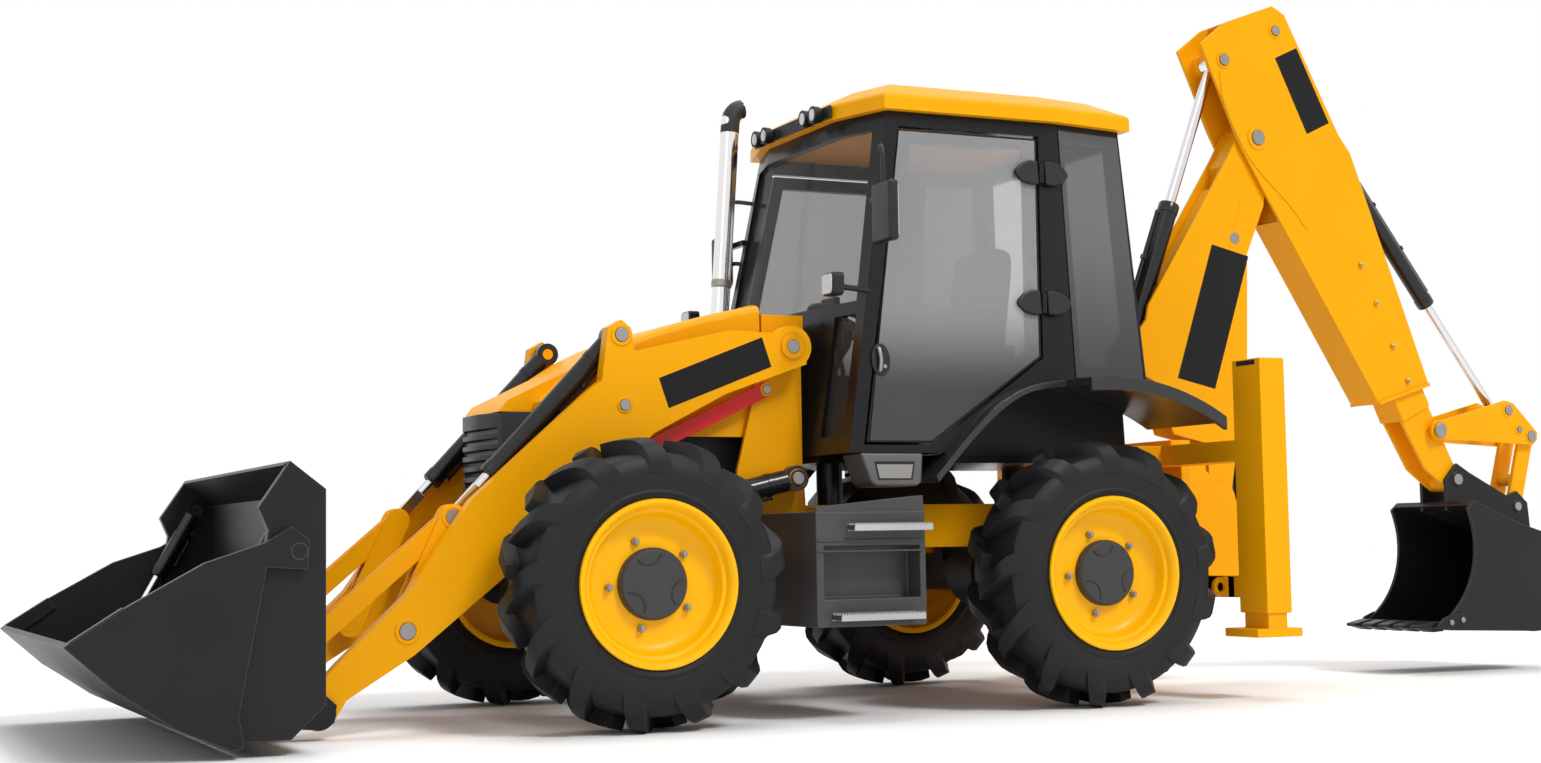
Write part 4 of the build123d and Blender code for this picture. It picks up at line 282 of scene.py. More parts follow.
def cylinder(mesh, start, end, radius, segments=32):
    """A round bar between two points."""
    axis = Vector(end) - Vector(start)
    turn = UP.rotation_difference(axis.normalized()).to_matrix().to_4x4()
    place = Matrix.Translation((Vector(start) + Vector(end)) / 2) @ turn
    bmesh.ops.create_cone(mesh, cap_ends=True, segments=segments, radius1=radius, radius2=radius,
                          depth=axis.length, matrix=place)


def box(mesh, low, high):
    """A block between two opposite machine corners."""
    low, high = at(*low), at(*high)
    size = [abs(b - a) for a, b in zip(low, high)]
    place = Matrix.Translation((low + high) / 2)
    bmesh.ops.create_cube(mesh, size=1.0, matrix=place @ Matrix.Diagonal((*size, 1)))


def nut(mesh, foot, axis, height, radius, thread_height, thread_radius):
    """A hexagon nut and the end of its bolt."""
    cylinder(mesh, foot, foot + axis * height, radius, 6)
    cylinder(mesh, foot, foot + axis * thread_height, thread_radius, 14)


def rounded(points, steps=6):
    """A smooth line through points."""
    path = []
    count = len(points)
    for k in range(count - 1):
        a, b, c, d = (points[min(max(j, 0), count - 1)] for j in (k - 1, k, k + 1, k + 2))
        for step in range(steps):
            t = step / steps
            path.append(0.5 * (2 * b + (c - a) * t + (2 * a - 5 * b + 4 * c - d) * t ** 2
                               + (3 * b - a - 3 * c + d) * t ** 3))
    return path + [points[-1]]


def tube(mesh, points, radius, segments=14):
    """A pipe along a line of points."""
    path = [Vector(point) for point in points]
    rings = []
    sideways = None
    for k, point in enumerate(path):
        ahead = (path[min(k + 1, len(path) - 1)] - path[max(k - 1, 0)]).normalized()
        if sideways is None:
            sideways = ahead.orthogonal().normalized()
        sideways = (sideways - ahead * sideways.dot(ahead)).normalized()
        upward = ahead.cross(sideways)
        ring = []
        for step in range(segments):
            angle = 2 * math.pi * step / segments
            offset = math.cos(angle) * sideways + math.sin(angle) * upward
            ring.append(mesh.verts.new(point + radius * offset))
        rings.append(ring)
    for here, there in zip(rings, rings[1:]):
        for k in range(segments):
            after = (k + 1) % segments
            mesh.faces.new((here[k], here[after], there[after], there[k]))
    mesh.faces.new(rings[0][::-1])
    mesh.faces.new(rings[-1])


def smooth(obj, angle=35):
    """Smooth shading that keeps sharp edges sharp."""
    obj.data.shade_smooth()
    obj.data.set_sharp_from_angle(angle=math.radians(angle))


def piece(mesh, name, body, finish, bevel=0.0, segments=2, replaces=()):
    """Turns a built mesh into a named piece of the machine that rides on a body."""
    bmesh.ops.recalc_face_normals(mesh, faces=mesh.faces)
    data = bpy.data.meshes.new(name)
    mesh.to_mesh(data)
    mesh.free()
    obj = bpy.data.objects.new(name, data)
    bpy.context.scene.collection.objects.link(obj)
    data.materials.append(MATERIAL[finish])
    smooth(obj)
    if bevel:
        soften(obj, bevel, segments)
    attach(obj, body)
    if replaces:
        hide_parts(*replaces)
    return obj


def plates(name, body, finish, outline, inner, outer, bevel, segments=2):
    """A piece with one side outline on the left and the right."""
    mesh = bmesh.new()
    both(mesh, outline, inner, outer)
    piece(mesh, name, body, finish, bevel, segments)


SHARP_EDGE = math.radians(32)


def soften(obj, width, segments=2):
    """Rounds an object's sharp edges."""
    edges = obj.modifiers.new("rounded edges", "BEVEL")
    edges.width = width
    edges.segments = segments
    edges.limit_method = "ANGLE"
    edges.angle_limit = SHARP_EDGE
    edges.harden_normals = True


# Finishes and rounded edges of the part's own solids
WELD_REACH = 0.00005
FLAT_ANGLE = math.radians(0.5)


def dress(node, finish, bevel, segments=2):
    """Gives a CAD node its finish and rounded edges."""
    obj = frame["nodes"][node]
    obj.data.materials.clear()
    obj.data.materials.append(MATERIAL[finish])
    if "custom_normal" in obj.data.attributes:
        obj.data.attributes.remove(obj.data.attributes["custom_normal"])
    obj.data.shade_smooth()
    weld = obj.modifiers.new("joined facets", "WELD")
    weld.merge_threshold = WELD_REACH
    flat = obj.modifiers.new("whole faces", "DECIMATE")
    flat.decimate_type = "DISSOLVE"
    flat.angle_limit = FLAT_ANGLE
    soften(obj, bevel, segments)


BEVEL = {"cab_glass": 0.002, "lamp_lens": 0.006, "rod_chrome": 0.002, "body_paint": 0.006,
         "cab_paint": 0.006, "dark_plastic": 0.008, "strut_paint": 0.011}
PLAIN_BEVEL = 0.004
OWN_FINISH = {"side_steps": "step_paint", "lamps": "dark_plastic", "fenders": "fender_plastic"}
for subpart in frame["record"]["subparts"]:
    slot = subpart["material_slot"]
    node = subpart["node"]
    dress(node, OWN_FINISH.get(node, slot), BEVEL.get(slot, PLAIN_BEVEL),
          4 if slot == "strut_paint" else 2)
# Whole faces would push this node's rounded edges past the part's box
rear_frame = frame["nodes"]["rear_frame"]
rear_frame.modifiers.remove(rear_frame.modifiers["whole faces"])

# Wheels: a carcass with two staggered rows of swept lugs, a dished rim, a hub cap and nuts
LUGS = 13
LUG_SWEEP = math.radians(16)
CARCASS = ((0.326, 0.158), (0.340, 0.172), (0.362, 0.178), (0.366, 0.183), (0.376, 0.183), (0.382, 0.180),
           (0.430, 0.188), (0.462, 0.188), (0.505, 0.178), (0.528, 0.160), (0.538, 0.120), (0.542, 0.060))
LUG_STATIONS = ((-0.016, 0.602, 0.525), (0.030, 0.602, 0.525), (0.080, 0.600, 0.520), (0.118, 0.596, 0.515),
                (0.146, 0.586, 0.510), (0.166, 0.566, 0.490), (0.182, 0.532, 0.465), (0.190, 0.492, 0.450))
LUG_HALF = (0.029, 0.047)
LUG_DRAFT = 0.012


def lug(mesh, centre, angle, row):
    """One bar of the tread, from just past the middle to the sidewall."""
    rings = []
    for k, (width, top, base) in enumerate(LUG_STATIONS):
        share = k / (len(LUG_STATIONS) - 1)
        middle = angle + LUG_SWEEP * (0.5 - share ** 0.8)
        half = LUG_HALF[0] + (LUG_HALF[1] - LUG_HALF[0]) * share
        ring = []
        edges = ((base, -half - LUG_DRAFT), (top, -half), (top, half), (base, half + LUG_DRAFT))
        for radius, reach in edges:
            turn = middle + reach / top
            spot = Vector((radius * math.sin(turn), row * width, radius * math.cos(turn)))
            ring.append(mesh.verts.new(centre + spot))
        rings.append(ring)
    for here, there in zip(rings, rings[1:]):
        for k in range(4):
            mesh.faces.new((here[k], here[(k + 1) % 4], there[(k + 1) % 4], there[k]))
    mesh.faces.new(rings[0])
    mesh.faces.new(rings[-1])


RIM = ((0.300, -0.180), (0.318, -0.186), (0.326, -0.180), (0.326, 0.166), (0.342, 0.170), (0.346, 0.178),
       (0.343, 0.187), (0.330, 0.188), (0.320, 0.182), (0.311, 0.165), (0.306, 0.150), (0.292, 0.145),
       (0.286, 0.134), (0.282, 0.104), (0.268, 0.088), (0.245, 0.078), (0.205, 0.072), (0.186, 0.076),
       (0.170, 0.080), (0.120, 0.082), (0.060, 0.082), (0.060, 0.056), (0.270, 0.056), (0.290, 0.030))
NUTS = 5
NUT_CIRCLE = 0.186
NUT_FOOT = 0.074
HUB_RADIUS = 0.148
HUB_FACE = 0.124
HUB_CAP = ((HUB_RADIUS, 0.070), (HUB_RADIUS, HUB_FACE - 0.012), (HUB_RADIUS - 0.010, HUB_FACE),
           (0.060, HUB_FACE + 0.003))
NOTCH = ((0.112, -0.052), (0.092, -0.036), (0.080, 0.0), (0.092, 0.036), (0.112, 0.052))
NOTCHES = 3
for corner in CORNERS:
    centre = PIN[f"wheel_{corner}_spin"].copy()
    outward = ACROSS if "left" in corner else -ACROSS
    body = f"wheel_{corner}"
    mesh = bmesh.new()
    lathe(mesh, CARCASS + tuple((r, -w) for r, w in reversed(CARCASS)), centre, 120, closed=True)
    for row in (1, -1):
        for k in range(LUGS):
            lug(mesh, centre, 2 * math.pi * (k + 0.25 * row) / LUGS, row)
    piece(mesh, f"{body}_tyre", body, "tyre_rubber", 0.009, 3, replaces=(f"tyre_{corner}",))
    mesh = bmesh.new()
    lathe(mesh, RIM, centre, 96, outward, closed=True)
    piece(mesh, f"{body}_rim", body, "rim_paint", replaces=(f"rim_{corner}",))
    mesh = bmesh.new()
    lathe(mesh, HUB_CAP, centre, 96, outward)
    piece(mesh, f"{body}_hub_cap", body, "hub_grey", 0.003, 3)
    # Notches in the hub cap, drawn as thin black tubes of painted shade on its face
    mesh = bmesh.new()
    for k in range(NOTCHES):
        turn = 2 * math.pi * (k + 0.1) / NOTCHES
        spoke = Vector((math.sin(turn), 0, math.cos(turn)))
        tangent = spoke.cross(outward)
        rail = [centre + outward * (HUB_FACE + 0.0015) + spoke * u + tangent * v for u, v in NOTCH]
        tube(mesh, rounded(rail), 0.0038, 10)
    piece(mesh, f"{body}_hub_notch_shades", body, "soot_and_painted_shade")
    mesh = bmesh.new()
    for k in range(NUTS):
        turn = 2 * math.pi * (k + 0.3) / NUTS
        spoke = Vector((math.sin(turn), 0, math.cos(turn)))
        nut(mesh, centre + outward * NUT_FOOT + spoke * NUT_CIRCLE, outward, 0.022, 0.017, 0.034, 0.010)
    piece(mesh, f"{body}_nuts", body, "bare_steel", 0.002)


# Pin centres seen from the side, shared by bosses and rams, and the outer faces they stand on
TILT_BASE, TILT_PIN = (2140, 1669), (2870, 890)
LIFT_BASE = (1295, 1048)
BOOM_RAM_PIN = (-1520, 2329)
DIPPER_RAM_BASE, DIPPER_RAM_PIN = (-860, 1700), (-1467, 3277)
BUCKET_RAM_PIN = (-3354, 1438)
ARM_FACE = 555
BOOM_FACE = 85
DIPPER_FACE = 110
LEVER_FACE = 118
EAR_FACE = 104


# Pins: a painted boss ring and a steel head on both sides of the machine
def pins(name, body, spots, ring_height, head_height, ring_finish="body_paint"):
    """Boss rings and pin heads at (centre, face y, ring radius, head radius) on both sides."""
    rings = bmesh.new()
    heads = bmesh.new()
    top = ring_height / 1000
    for (x, z), face, ring, head in spots:
        r, h = ring / 1000, head / 1000
        profile = ((h + 0.002, -0.002), (h + 0.002, top * 0.7), (h + 0.005, top), (r - 0.004, top),
                   (r, top * 0.5), (r, -0.002))
        for side in (1, -1):
            foot = at(x, side * face, z)
            lathe(rings, profile, foot, 40, side * ACROSS, closed=True)
            cylinder(heads, foot, foot + side * ACROSS * head_height / 1000, h, 36)
    piece(rings, f"{name}_bosses", body, ring_finish)
    piece(heads, f"{name}_pins", body, "bare_steel", 0.002)


pins("arm", "loader_arms", ((TILT_BASE, ARM_FACE, 50, 30), ((2128, 1364), ARM_FACE, 36, 24),
                            ((3090, 424), ARM_FACE, 54, 34), ((3455, 110), ARM_FACE, 58, 38)), 6, 10)
pins("tower", "chassis", (((1320, 1638), 567, 56, 30), ((1400, 1452), 449, 32, 20)), 3, 5)
pins("lift_base", "chassis", ((LIFT_BASE, 542, 40, 28),), 3, 8, "ram_paint")
pins("lever", "tipping_levers", ((TILT_PIN, 475, 50, 32),), 4, 6)
pins("boom", "boom", ((BOOM_RAM_PIN, BOOM_FACE, 50, 30), (DIPPER_RAM_BASE, BOOM_FACE, 44, 28)), 1.6, 2)
pins("dipper", "dipper", (((-1674, 2873), DIPPER_FACE, 66, 40), (DIPPER_RAM_PIN, DIPPER_FACE, 46, 30),
                          ((-1814, 3464), DIPPER_FACE, 42, 26)), 7, 12)
pins("bucket_lever", "bucket_lever", ((BUCKET_RAM_PIN, LEVER_FACE, 44, 27),
                                      ((-3518, 1293), LEVER_FACE, 42, 30),
                                      ((-3430, 1330), LEVER_FACE, 34, 17)), 5, 9)
pins("bucket_ear", "digging_bucket", (((-2974, 1051), EAR_FACE, 44, 30), ((-3405, 899), EAR_FACE, 36, 24)),
     5, 10, "dark_paint")

# Steel heads on the ends of the bucket lever's axle
AXLE_CAP = ((0.040, 0.0), (0.040, 0.006), (0.032, 0.009))
mesh = bmesh.new()
for side in (1, -1):
    lathe(mesh, AXLE_CAP, at(-2844, side * 130, 1321), 36, side * ACROSS)
piece(mesh, "bucket_lever_axle_caps", "inner_dipper", "bare_steel", 0.001)


# Plain black film where the machine carries its decals
FILM_SINK = 0.5


def film(name, body, outline, face, thickness=1.0):
    """A thin sheet with a side outline on both outer faces."""
    plates(name, body, "decal_black", outline, face - FILM_SINK, face + thickness, 0.0004, 1)


film("arm_film", "loader_arms", ((1968, 1484), (1470, 1676), (1425, 1545), (1923, 1353)), ARM_FACE)
film("boom_film", "boom", ((-1371, 2290), (-1606, 2236), (-1362, 1527), (-1126, 1580)), BOOM_FACE, 0.8)
film("dipper_film", "dipper", ((-1808, 3316), (-1955, 3384), (-2159, 2987), (-2006, 2916)), DIPPER_FACE)

# Boom: the keepers of the ram's pin
KEEPER = ((-1508, 2376), (-1530, 2376), (-1585, 2500), (-1592, 2524), (-1580, 2536), (-1564, 2528),
          (-1558, 2508))
plates("boom_pin_keepers", "boom", "body_paint", KEEPER, BOOM_FACE - 0.5,
       BOOM_FACE + 1.8, 0.001)

# Dipper: weld bead of the cheek plate, adjuster bolts and the flanges at its foot
BEAD = ((-1440, 3215), (-1468, 3034), (-1618, 2760), (-1873, 2522), (-1976, 2404), (-1992, 2408))
mesh = bmesh.new()
for side in (1, -1):
    line = [at(x, side * (DIPPER_FACE + 0.5), z) for x, z in BEAD]
    tube(mesh, rounded(line, 8), 0.0055, 10)
piece(mesh, "dipper_weld_beads", "dipper", "body_paint")
mesh = bmesh.new()
for x, z in ((-2343, 2217), (-2440, 2013), (-2545, 1780), (-2640, 1590)):
    for side in (1, -1):
        nut(mesh, at(x, side * DIPPER_FACE, z), side * ACROSS, 0.012, 0.017, 0.024, 0.009)
piece(mesh, "dipper_adjuster_bolts", "dipper", "brass", 0.0015)
plates("dipper_foot_flanges", "dipper", "body_paint",
       ((-2787, 1584), (-2793, 1566), (-2437, 1457), (-2428, 1472)), 106, 122, 0.003)


# Rams: glands, collars and a rigid feed pipe with clips along each barrel
def ram(body, base, pin, y, radius, length, sides=(1, -1), pipe=1):
    """Fittings on a ram's barrel, seen from the side between two machine points."""
    start = at(base[0], 0, base[1])
    along = (at(pin[0], 0, pin[1]) - start).normalized()
    upward = ACROSS.cross(along) * pipe
    r = radius / 1000
    tip = length / 1000
    lane = r + 0.011
    sunk = r - 0.004
    gland = ((r * 0.8, tip - 0.055), (r + 0.0035, tip - 0.052), (r + 0.0035, tip - 0.006),
             (r - 0.002, tip + 0.003), (r * 0.8, tip + 0.003))
    collar = ((r * 0.8, 0.120), (r + 0.003, 0.123), (r + 0.003, 0.150), (r * 0.8, 0.153))
    route = ((0.135, sunk), (0.150, lane), (0.190, lane), (tip - 0.110, lane), (tip - 0.080, lane),
             (tip - 0.068, sunk))
    glands = bmesh.new()
    pipes = bmesh.new()
    for side in sides:
        foot = start + ACROSS * side * y / 1000
        for profile in (gland, collar):
            lathe(glands, profile, foot, 40, along, closed=True)
        run = [foot + along * d + upward * h for d, h in route]
        tube(pipes, rounded(run, 4), 0.0075, 12)
        for share in (0.30, 0.62):
            spot = foot + along * tip * share + upward * sunk
            slab(pipes, plane(spot, along, upward.cross(along)), oblong(0.012, 0.014), 0.0, 0.024)
    piece(glands, f"{body}_glands", body, "ram_paint", 0.001)
    piece(pipes, f"{body}_pipes", body, "ram_paint", 0.0008)


ram("tilt_barrels", TILT_BASE, TILT_PIN, 435, 42, 825)
ram("lift_barrels", LIFT_BASE, (2470, 785), 505, 50, 1000)
ram("clam_barrels", (3660, 960), (3960, 420), 1045, 34, 350)
ram("boom_ram_barrel", (-1600, 620), BOOM_RAM_PIN, 0, 55, 870, (1,), pipe=-1)
ram("dipper_ram_barrel", DIPPER_RAM_BASE, DIPPER_RAM_PIN, 0, 52, 860, (1,))
ram("bucket_ram_barrel", (-2325, 2763), BUCKET_RAM_PIN, 0, 45, 930, (1,))

# Cab: glass skins over the doors and the rear corners; its plans hold (x, half width) from front to rear
FLOOR_PLAN = ((1185, 400), (1185, 830), (70, 840), (-500, 740))
TOP_PLAN = ((985, 360), (885, 685), (0, 690), (-420, 620))
FLOOR_Z, TOP_Z = 1150, 2720
DOOR_WALL, REAR_WALL = 1, 2
GLASS_STAND = (1.5, 5.5)


def skin(x, z, wall):
    """Half the cab's width at a point seen from the side, on the wall behind a plan corner."""
    share = (z - FLOOR_Z) / (TOP_Z - FLOOR_Z)
    front, rear = ([low + (high - low) * share for low, high in zip(FLOOR_PLAN[k], TOP_PLAN[k])]
                   for k in (wall, wall + 1))
    return front[1] + (rear[1] - front[1]) * (x - front[0]) / (rear[0] - front[0])


def skin_plane(x, z, wall, side):
    """A local frame on the cab's side: u forward, v up the wall, w outward."""
    origin = at(x, side * skin(x, z, wall), z)
    ahead = at(x + 100, side * skin(x + 100, z, wall), z) - origin
    above = at(x, side * skin(x, z + 100, wall), z + 100) - origin
    place = plane(origin, ahead, above)
    outward = place.to_3x3() @ UP
    if outward.y * side < 0:
        place = place @ Matrix.Diagonal((1, 1, -1, 1))
    return place


def pane(name, body, outline, wall, finish):
    """A thin bonded glass on each side of the cab."""
    for hand, side in HANDS:
        mesh = bmesh.new()
        near, far = ([at(x, side * (skin(x, z, wall) + stand), z) for x, z in outline]
                     for stand in GLASS_STAND)
        shell(mesh, near, far)
        piece(mesh, f"{name}_{hand}", body.format(hand=hand), finish, 0.0012)


pane("door_pane", "door_{hand}", ((1082, 1204), (772, 1204), (175, 1600), (108, 2628), (830, 2628)),
     DOOR_WALL, "door_pane")
pane("quarter_pane", "chassis", ((-30, 1505), (-150, 1505), (-330, 1460), (-462, 1420), (-408, 2690),
                                 (-34, 2690)), REAR_WALL, "quarter_pane")

# Door handles and hinge covers
HANDLE = [(0.047 * math.cos(t), 0.074 * math.sin(t)) for t in (2 * math.pi * k / 40 for k in range(40))]
GRIP = ((0.014, 0.052, 0.010), (0.012, 0.046, 0.022), (0.008, 0.0, 0.027), (0.012, -0.046, 0.022),
        (0.014, -0.052, 0.010))
LOCK = ((-0.016, -0.030, 0.010), (-0.016, -0.030, 0.016))
LEAF = ((0.018, 0.060), (0.060, 0.062), (0.110, 0.046), (0.142, 0.014), (0.146, 0.0), (0.142, -0.014),
        (0.110, -0.044), (0.060, -0.056), (0.018, -0.054))
HINGES = ((134, 1845), (94, 2465))
HINGE_LOW, HINGE_HIGH = 0.007, 0.030
for hand, side in HANDS:
    spot = skin_plane(1003, 1564, DOOR_WALL, side)
    mesh = bmesh.new()
    slab(mesh, spot, HANDLE, 0.003, 0.011)
    piece(mesh, f"door_handle_bezel_{hand}", f"door_{hand}", "dark_plastic", 0.004, 3)
    mesh = bmesh.new()
    tube(mesh, rounded([spot @ Vector(p) for p in GRIP], 6), 0.009, 12)
    cylinder(mesh, *[spot @ Vector(p) for p in LOCK], 0.009, 24)
    piece(mesh, f"door_handle_{hand}", f"door_{hand}", "bare_steel", 0.001)
    front = bmesh.new()
    rear = bmesh.new()
    for x, z in HINGES:
        hinge = skin_plane(x, z, DOOR_WALL, side)
        slab(front, hinge, LEAF, HINGE_LOW, HINGE_HIGH)
        slab(rear, hinge, [(-u, v) for u, v in LEAF], HINGE_LOW, HINGE_HIGH)
    piece(front, f"hinge_covers_front_{hand}", f"door_{hand}", "dark_plastic", 0.010, 3)
    piece(rear, f"hinge_covers_rear_{hand}", "chassis", "dark_plastic", 0.010, 3)

# Work lamps on the front pillars, mirrors and their tube arms
LAMP_X, LAMP_Y, LAMP_Z = 1205, 800, 1892
LAMP_DEPTH, LENS_DEPTH = 58, 6
LAMP_OUTLINE = ((-0.052, -0.038), (-0.040, -0.050), (0.040, -0.050), (0.056, -0.034), (0.060, 0.040),
                (0.048, 0.052), (-0.042, 0.052), (-0.054, 0.040))
LENS_OUTLINE = ((-0.044, -0.032), (-0.034, -0.042), (0.036, -0.042), (0.048, -0.028), (0.051, 0.034),
                (0.042, 0.044), (-0.036, 0.044), (-0.046, 0.034))
LAMP_ARM = ((1035, 758, 1878), (1100, 782, 1880), (1210, 802, 1886))
MIRROR_ARMS = [((x, y, z), (985, 800, z + 20), (1012, 868, z), (1016, 880, end))
               for x, y, z, end in ((925, 700, 2500, 2350), (955, 712, 2180, 2110))]
for hand, side in HANDS:
    mesh = bmesh.new()
    housing = plane(at(LAMP_X, side * LAMP_Y, LAMP_Z), side * ACROSS, UP)
    slab(mesh, housing, LAMP_OUTLINE, 0.0, side * LAMP_DEPTH / 1000)
    piece(mesh, f"work_lamp_body_{hand}", "chassis", "dark_plastic", 0.008, 3)
    mesh = bmesh.new()
    opening = plane(at(LAMP_X + LAMP_DEPTH, side * LAMP_Y, LAMP_Z), side * ACROSS, UP)
    slab(mesh, opening, LENS_OUTLINE, 0.0, side * LENS_DEPTH / 1000)
    piece(mesh, f"work_lamp_lens_{hand}", "chassis", "lamp_lens", 0.004, 3)
    mesh = bmesh.new()
    tube(mesh, rounded([at(x, side * y, z) for x, y, z in LAMP_ARM], 5), 0.013)
    for arm in MIRROR_ARMS:
        tube(mesh, rounded([at(x, side * y, z) for x, y, z in arm], 6), 0.011)
    piece(mesh, f"pillar_brackets_{hand}", "chassis", "dark_plastic")
    mesh = bmesh.new()
    slab(mesh, plane(at(989, side * 890, 2215), ACROSS, UP), oblong(0.074, 0.112), -0.003, 0.002)
    piece(mesh, f"mirror_glass_{hand}", "chassis", "mirror_glass", 0.001)

# Roof: a black band under the front brim, bezels and lenses for the lamps
mesh = bmesh.new()
box(mesh, (1027, -415, 2724), (1041, 415, 2788))
piece(mesh, "roof_front_band", "chassis", "dark_plastic", 0.006, 3)
BEZEL = ((0.035, -0.040), (0.040, -0.030), (0.041, 0.000), (0.034, 0.003), (0.031, -0.006))
LENS = ((0.031, -0.004), (0.028, 0.001), (0.018, 0.004), (0.006, 0.005))
bezels = bmesh.new()
lenses = bmesh.new()
for x, facing, spread in ((1085, 1, (215, 320)), (-520, -1, (300, 430))):
    for y in (*spread, *[-v for v in spread]):
        face = at(x, y, 2755)
        lathe(bezels, BEZEL, face, 40, facing * AHEAD, closed=True)
        lathe(lenses, LENS, face, 40, facing * AHEAD)
piece(bezels, "roof_lamp_bezels", "chassis", "dark_plastic")
piece(lenses, "roof_lamp_lenses", "chassis", "lamp_lens")


# Operator's place: padded seat, steering column, side console and a small display
def pad(size, channels):
    """A crowned cushion with pulled-in sides and sewn channels across it."""
    half = [length / 2 for length in size]
    mesh = bmesh.new()
    bmesh.ops.create_cube(mesh, size=2.0)
    bmesh.ops.subdivide_edges(mesh, edges=mesh.edges, cuts=15, use_grid_fill=True)
    for vert in mesh.verts:
        u, v, w = vert.co
        crown = (1 - u ** 4) * (1 - v ** 4)
        groove = sum(math.exp(-((u - c) / 0.035) ** 2) for c in channels)
        tight = 1 - 0.05 * (1 - w * w) ** 0.5
        rim_u = 1 - 0.10 * max(0.0, abs(v) - 0.7) / 0.3 - 0.05 * w ** 4
        rim_v = 1 - 0.10 * max(0.0, abs(u) - 0.7) / 0.3 - 0.05 * w ** 4
        height = (0.66 + 0.34 * crown) * w - (0.16 * groove * crown if w > 0 else 0)
        vert.co = Vector((u * rim_u * tight * half[0], v * rim_v * tight * half[1], height * half[2]))
    return mesh


SEAT_FLOOR = 1168
ARMREST_Y = 290
BACKREST_LEAN = math.radians(-98)
DISPLAY_Y, DISPLAY_Z = -395, 1940
cushion = pad((0.50, 0.52, 0.135), (-0.35, 0.35))
place = Matrix.Translation(at(250, 0, SEAT_FLOOR + 325))
bmesh.ops.transform(cushion, matrix=place, verts=cushion.verts)
seat = piece(cushion, "seat_cushion", "chassis", "seat_cover", replaces=("operator_seat",))
seat.modifiers.new("fullness", "SUBSURF").levels = 1
backrest = pad((0.66, 0.48, 0.115), (-0.4, 0.0, 0.4))
place = Matrix.Translation(at(18, 0, SEAT_FLOOR + 720)) @ Matrix.Rotation(BACKREST_LEAN, 4, "Y")
bmesh.ops.transform(backrest, matrix=place, verts=backrest.verts)
back = piece(backrest, "seat_backrest", "chassis", "seat_cover")
back.modifiers.new("fullness", "SUBSURF").levels = 1
mesh = bmesh.new()
box(mesh, (70, -170, SEAT_FLOOR), (450, 170, SEAT_FLOOR + 40))
box(mesh, (110, -130, SEAT_FLOOR + 40), (410, 130, SEAT_FLOOR + 215))
box(mesh, (20, -230, SEAT_FLOOR + 215), (480, 230, SEAT_FLOOR + 262))
box(mesh, (-30, -60, SEAT_FLOOR + 262), (40, 60, SEAT_FLOOR + 480))
for side in (1, -1):
    y = side * ARMREST_Y
    box(mesh, (0, y - 35, SEAT_FLOOR + 480), (330, y + 35, SEAT_FLOOR + 530))
    box(mesh, (0, y - 20, SEAT_FLOOR + 240), (60, y + 20, SEAT_FLOOR + 482))
    box(mesh, (10, side * 250 - 30, SEAT_FLOOR + 225), (60, side * 250 + 50, SEAT_FLOOR + 258))
piece(mesh, "seat_frame", "chassis", "dark_plastic", 0.010, 3)
COLUMN_FOOT, COLUMN_TOP = at(1030, 0, SEAT_FLOOR + 40), at(757, 0, SEAT_FLOOR + 647)
COLUMN = (COLUMN_TOP - COLUMN_FOOT).normalized()
COLUMN_COVER = ((0.085, -0.04), (0.070, 0.06), (0.052, 0.22), (0.046, 0.50), (0.060, 0.56), (0.050, 0.63))
GRIP_CIRCLE, GRIP_RADIUS = 0.190, 0.015
mesh = bmesh.new()
lathe(mesh, COLUMN_COVER, COLUMN_FOOT, 32, COLUMN)
box(mesh, (990, -140, SEAT_FLOOR), (1090, 140, SEAT_FLOOR + 60))
piece(mesh, "steering_column", "chassis", "dark_plastic", 0.004)
mesh = bmesh.new()
turns = [2 * math.pi * k / 16 for k in range(16)]
ring = [(GRIP_CIRCLE + GRIP_RADIUS * math.cos(t), GRIP_RADIUS * math.sin(t)) for t in turns]
lathe(mesh, ring, COLUMN_TOP, 64, COLUMN, closed=True)
lathe(mesh, ((0.060, -0.020), (0.060, 0.004), (0.045, 0.014)), COLUMN_TOP, 32, COLUMN)
across = COLUMN.cross(ACROSS)
for k in range(3):
    turn = 2 * math.pi * k / 3
    arm = ACROSS * math.sin(turn) + across * math.cos(turn)
    rail = (arm * 0.04, arm * 0.12 - COLUMN * 0.006, arm * 0.188)
    tube(mesh, [COLUMN_TOP + reach for reach in rail], 0.011, 12)
piece(mesh, "steering_wheel", "chassis", "dark_plastic")
mesh = bmesh.new()
stalk = [at(560, -420, SEAT_FLOOR + 420), at(600, -410, 1780), at(640, DISPLAY_Y, 1900)]
tube(mesh, rounded(stalk, 6), 0.012)
slab(mesh, plane(at(640, DISPLAY_Y, DISPLAY_Z), ACROSS, UP), oblong(0.075, 0.048), -0.018, 0.018)
box(mesh, (80, -520, SEAT_FLOOR), (760, -360, SEAT_FLOOR + 430))
piece(mesh, "side_console", "chassis", "dark_plastic", 0.008, 3)
mesh = bmesh.new()
slab(mesh, plane(at(621, DISPLAY_Y, DISPLAY_Z), ACROSS, UP), oblong(0.064, 0.038), -0.003, 0.003)
piece(mesh, "display_face", "chassis", "screen", 0.001, 1)

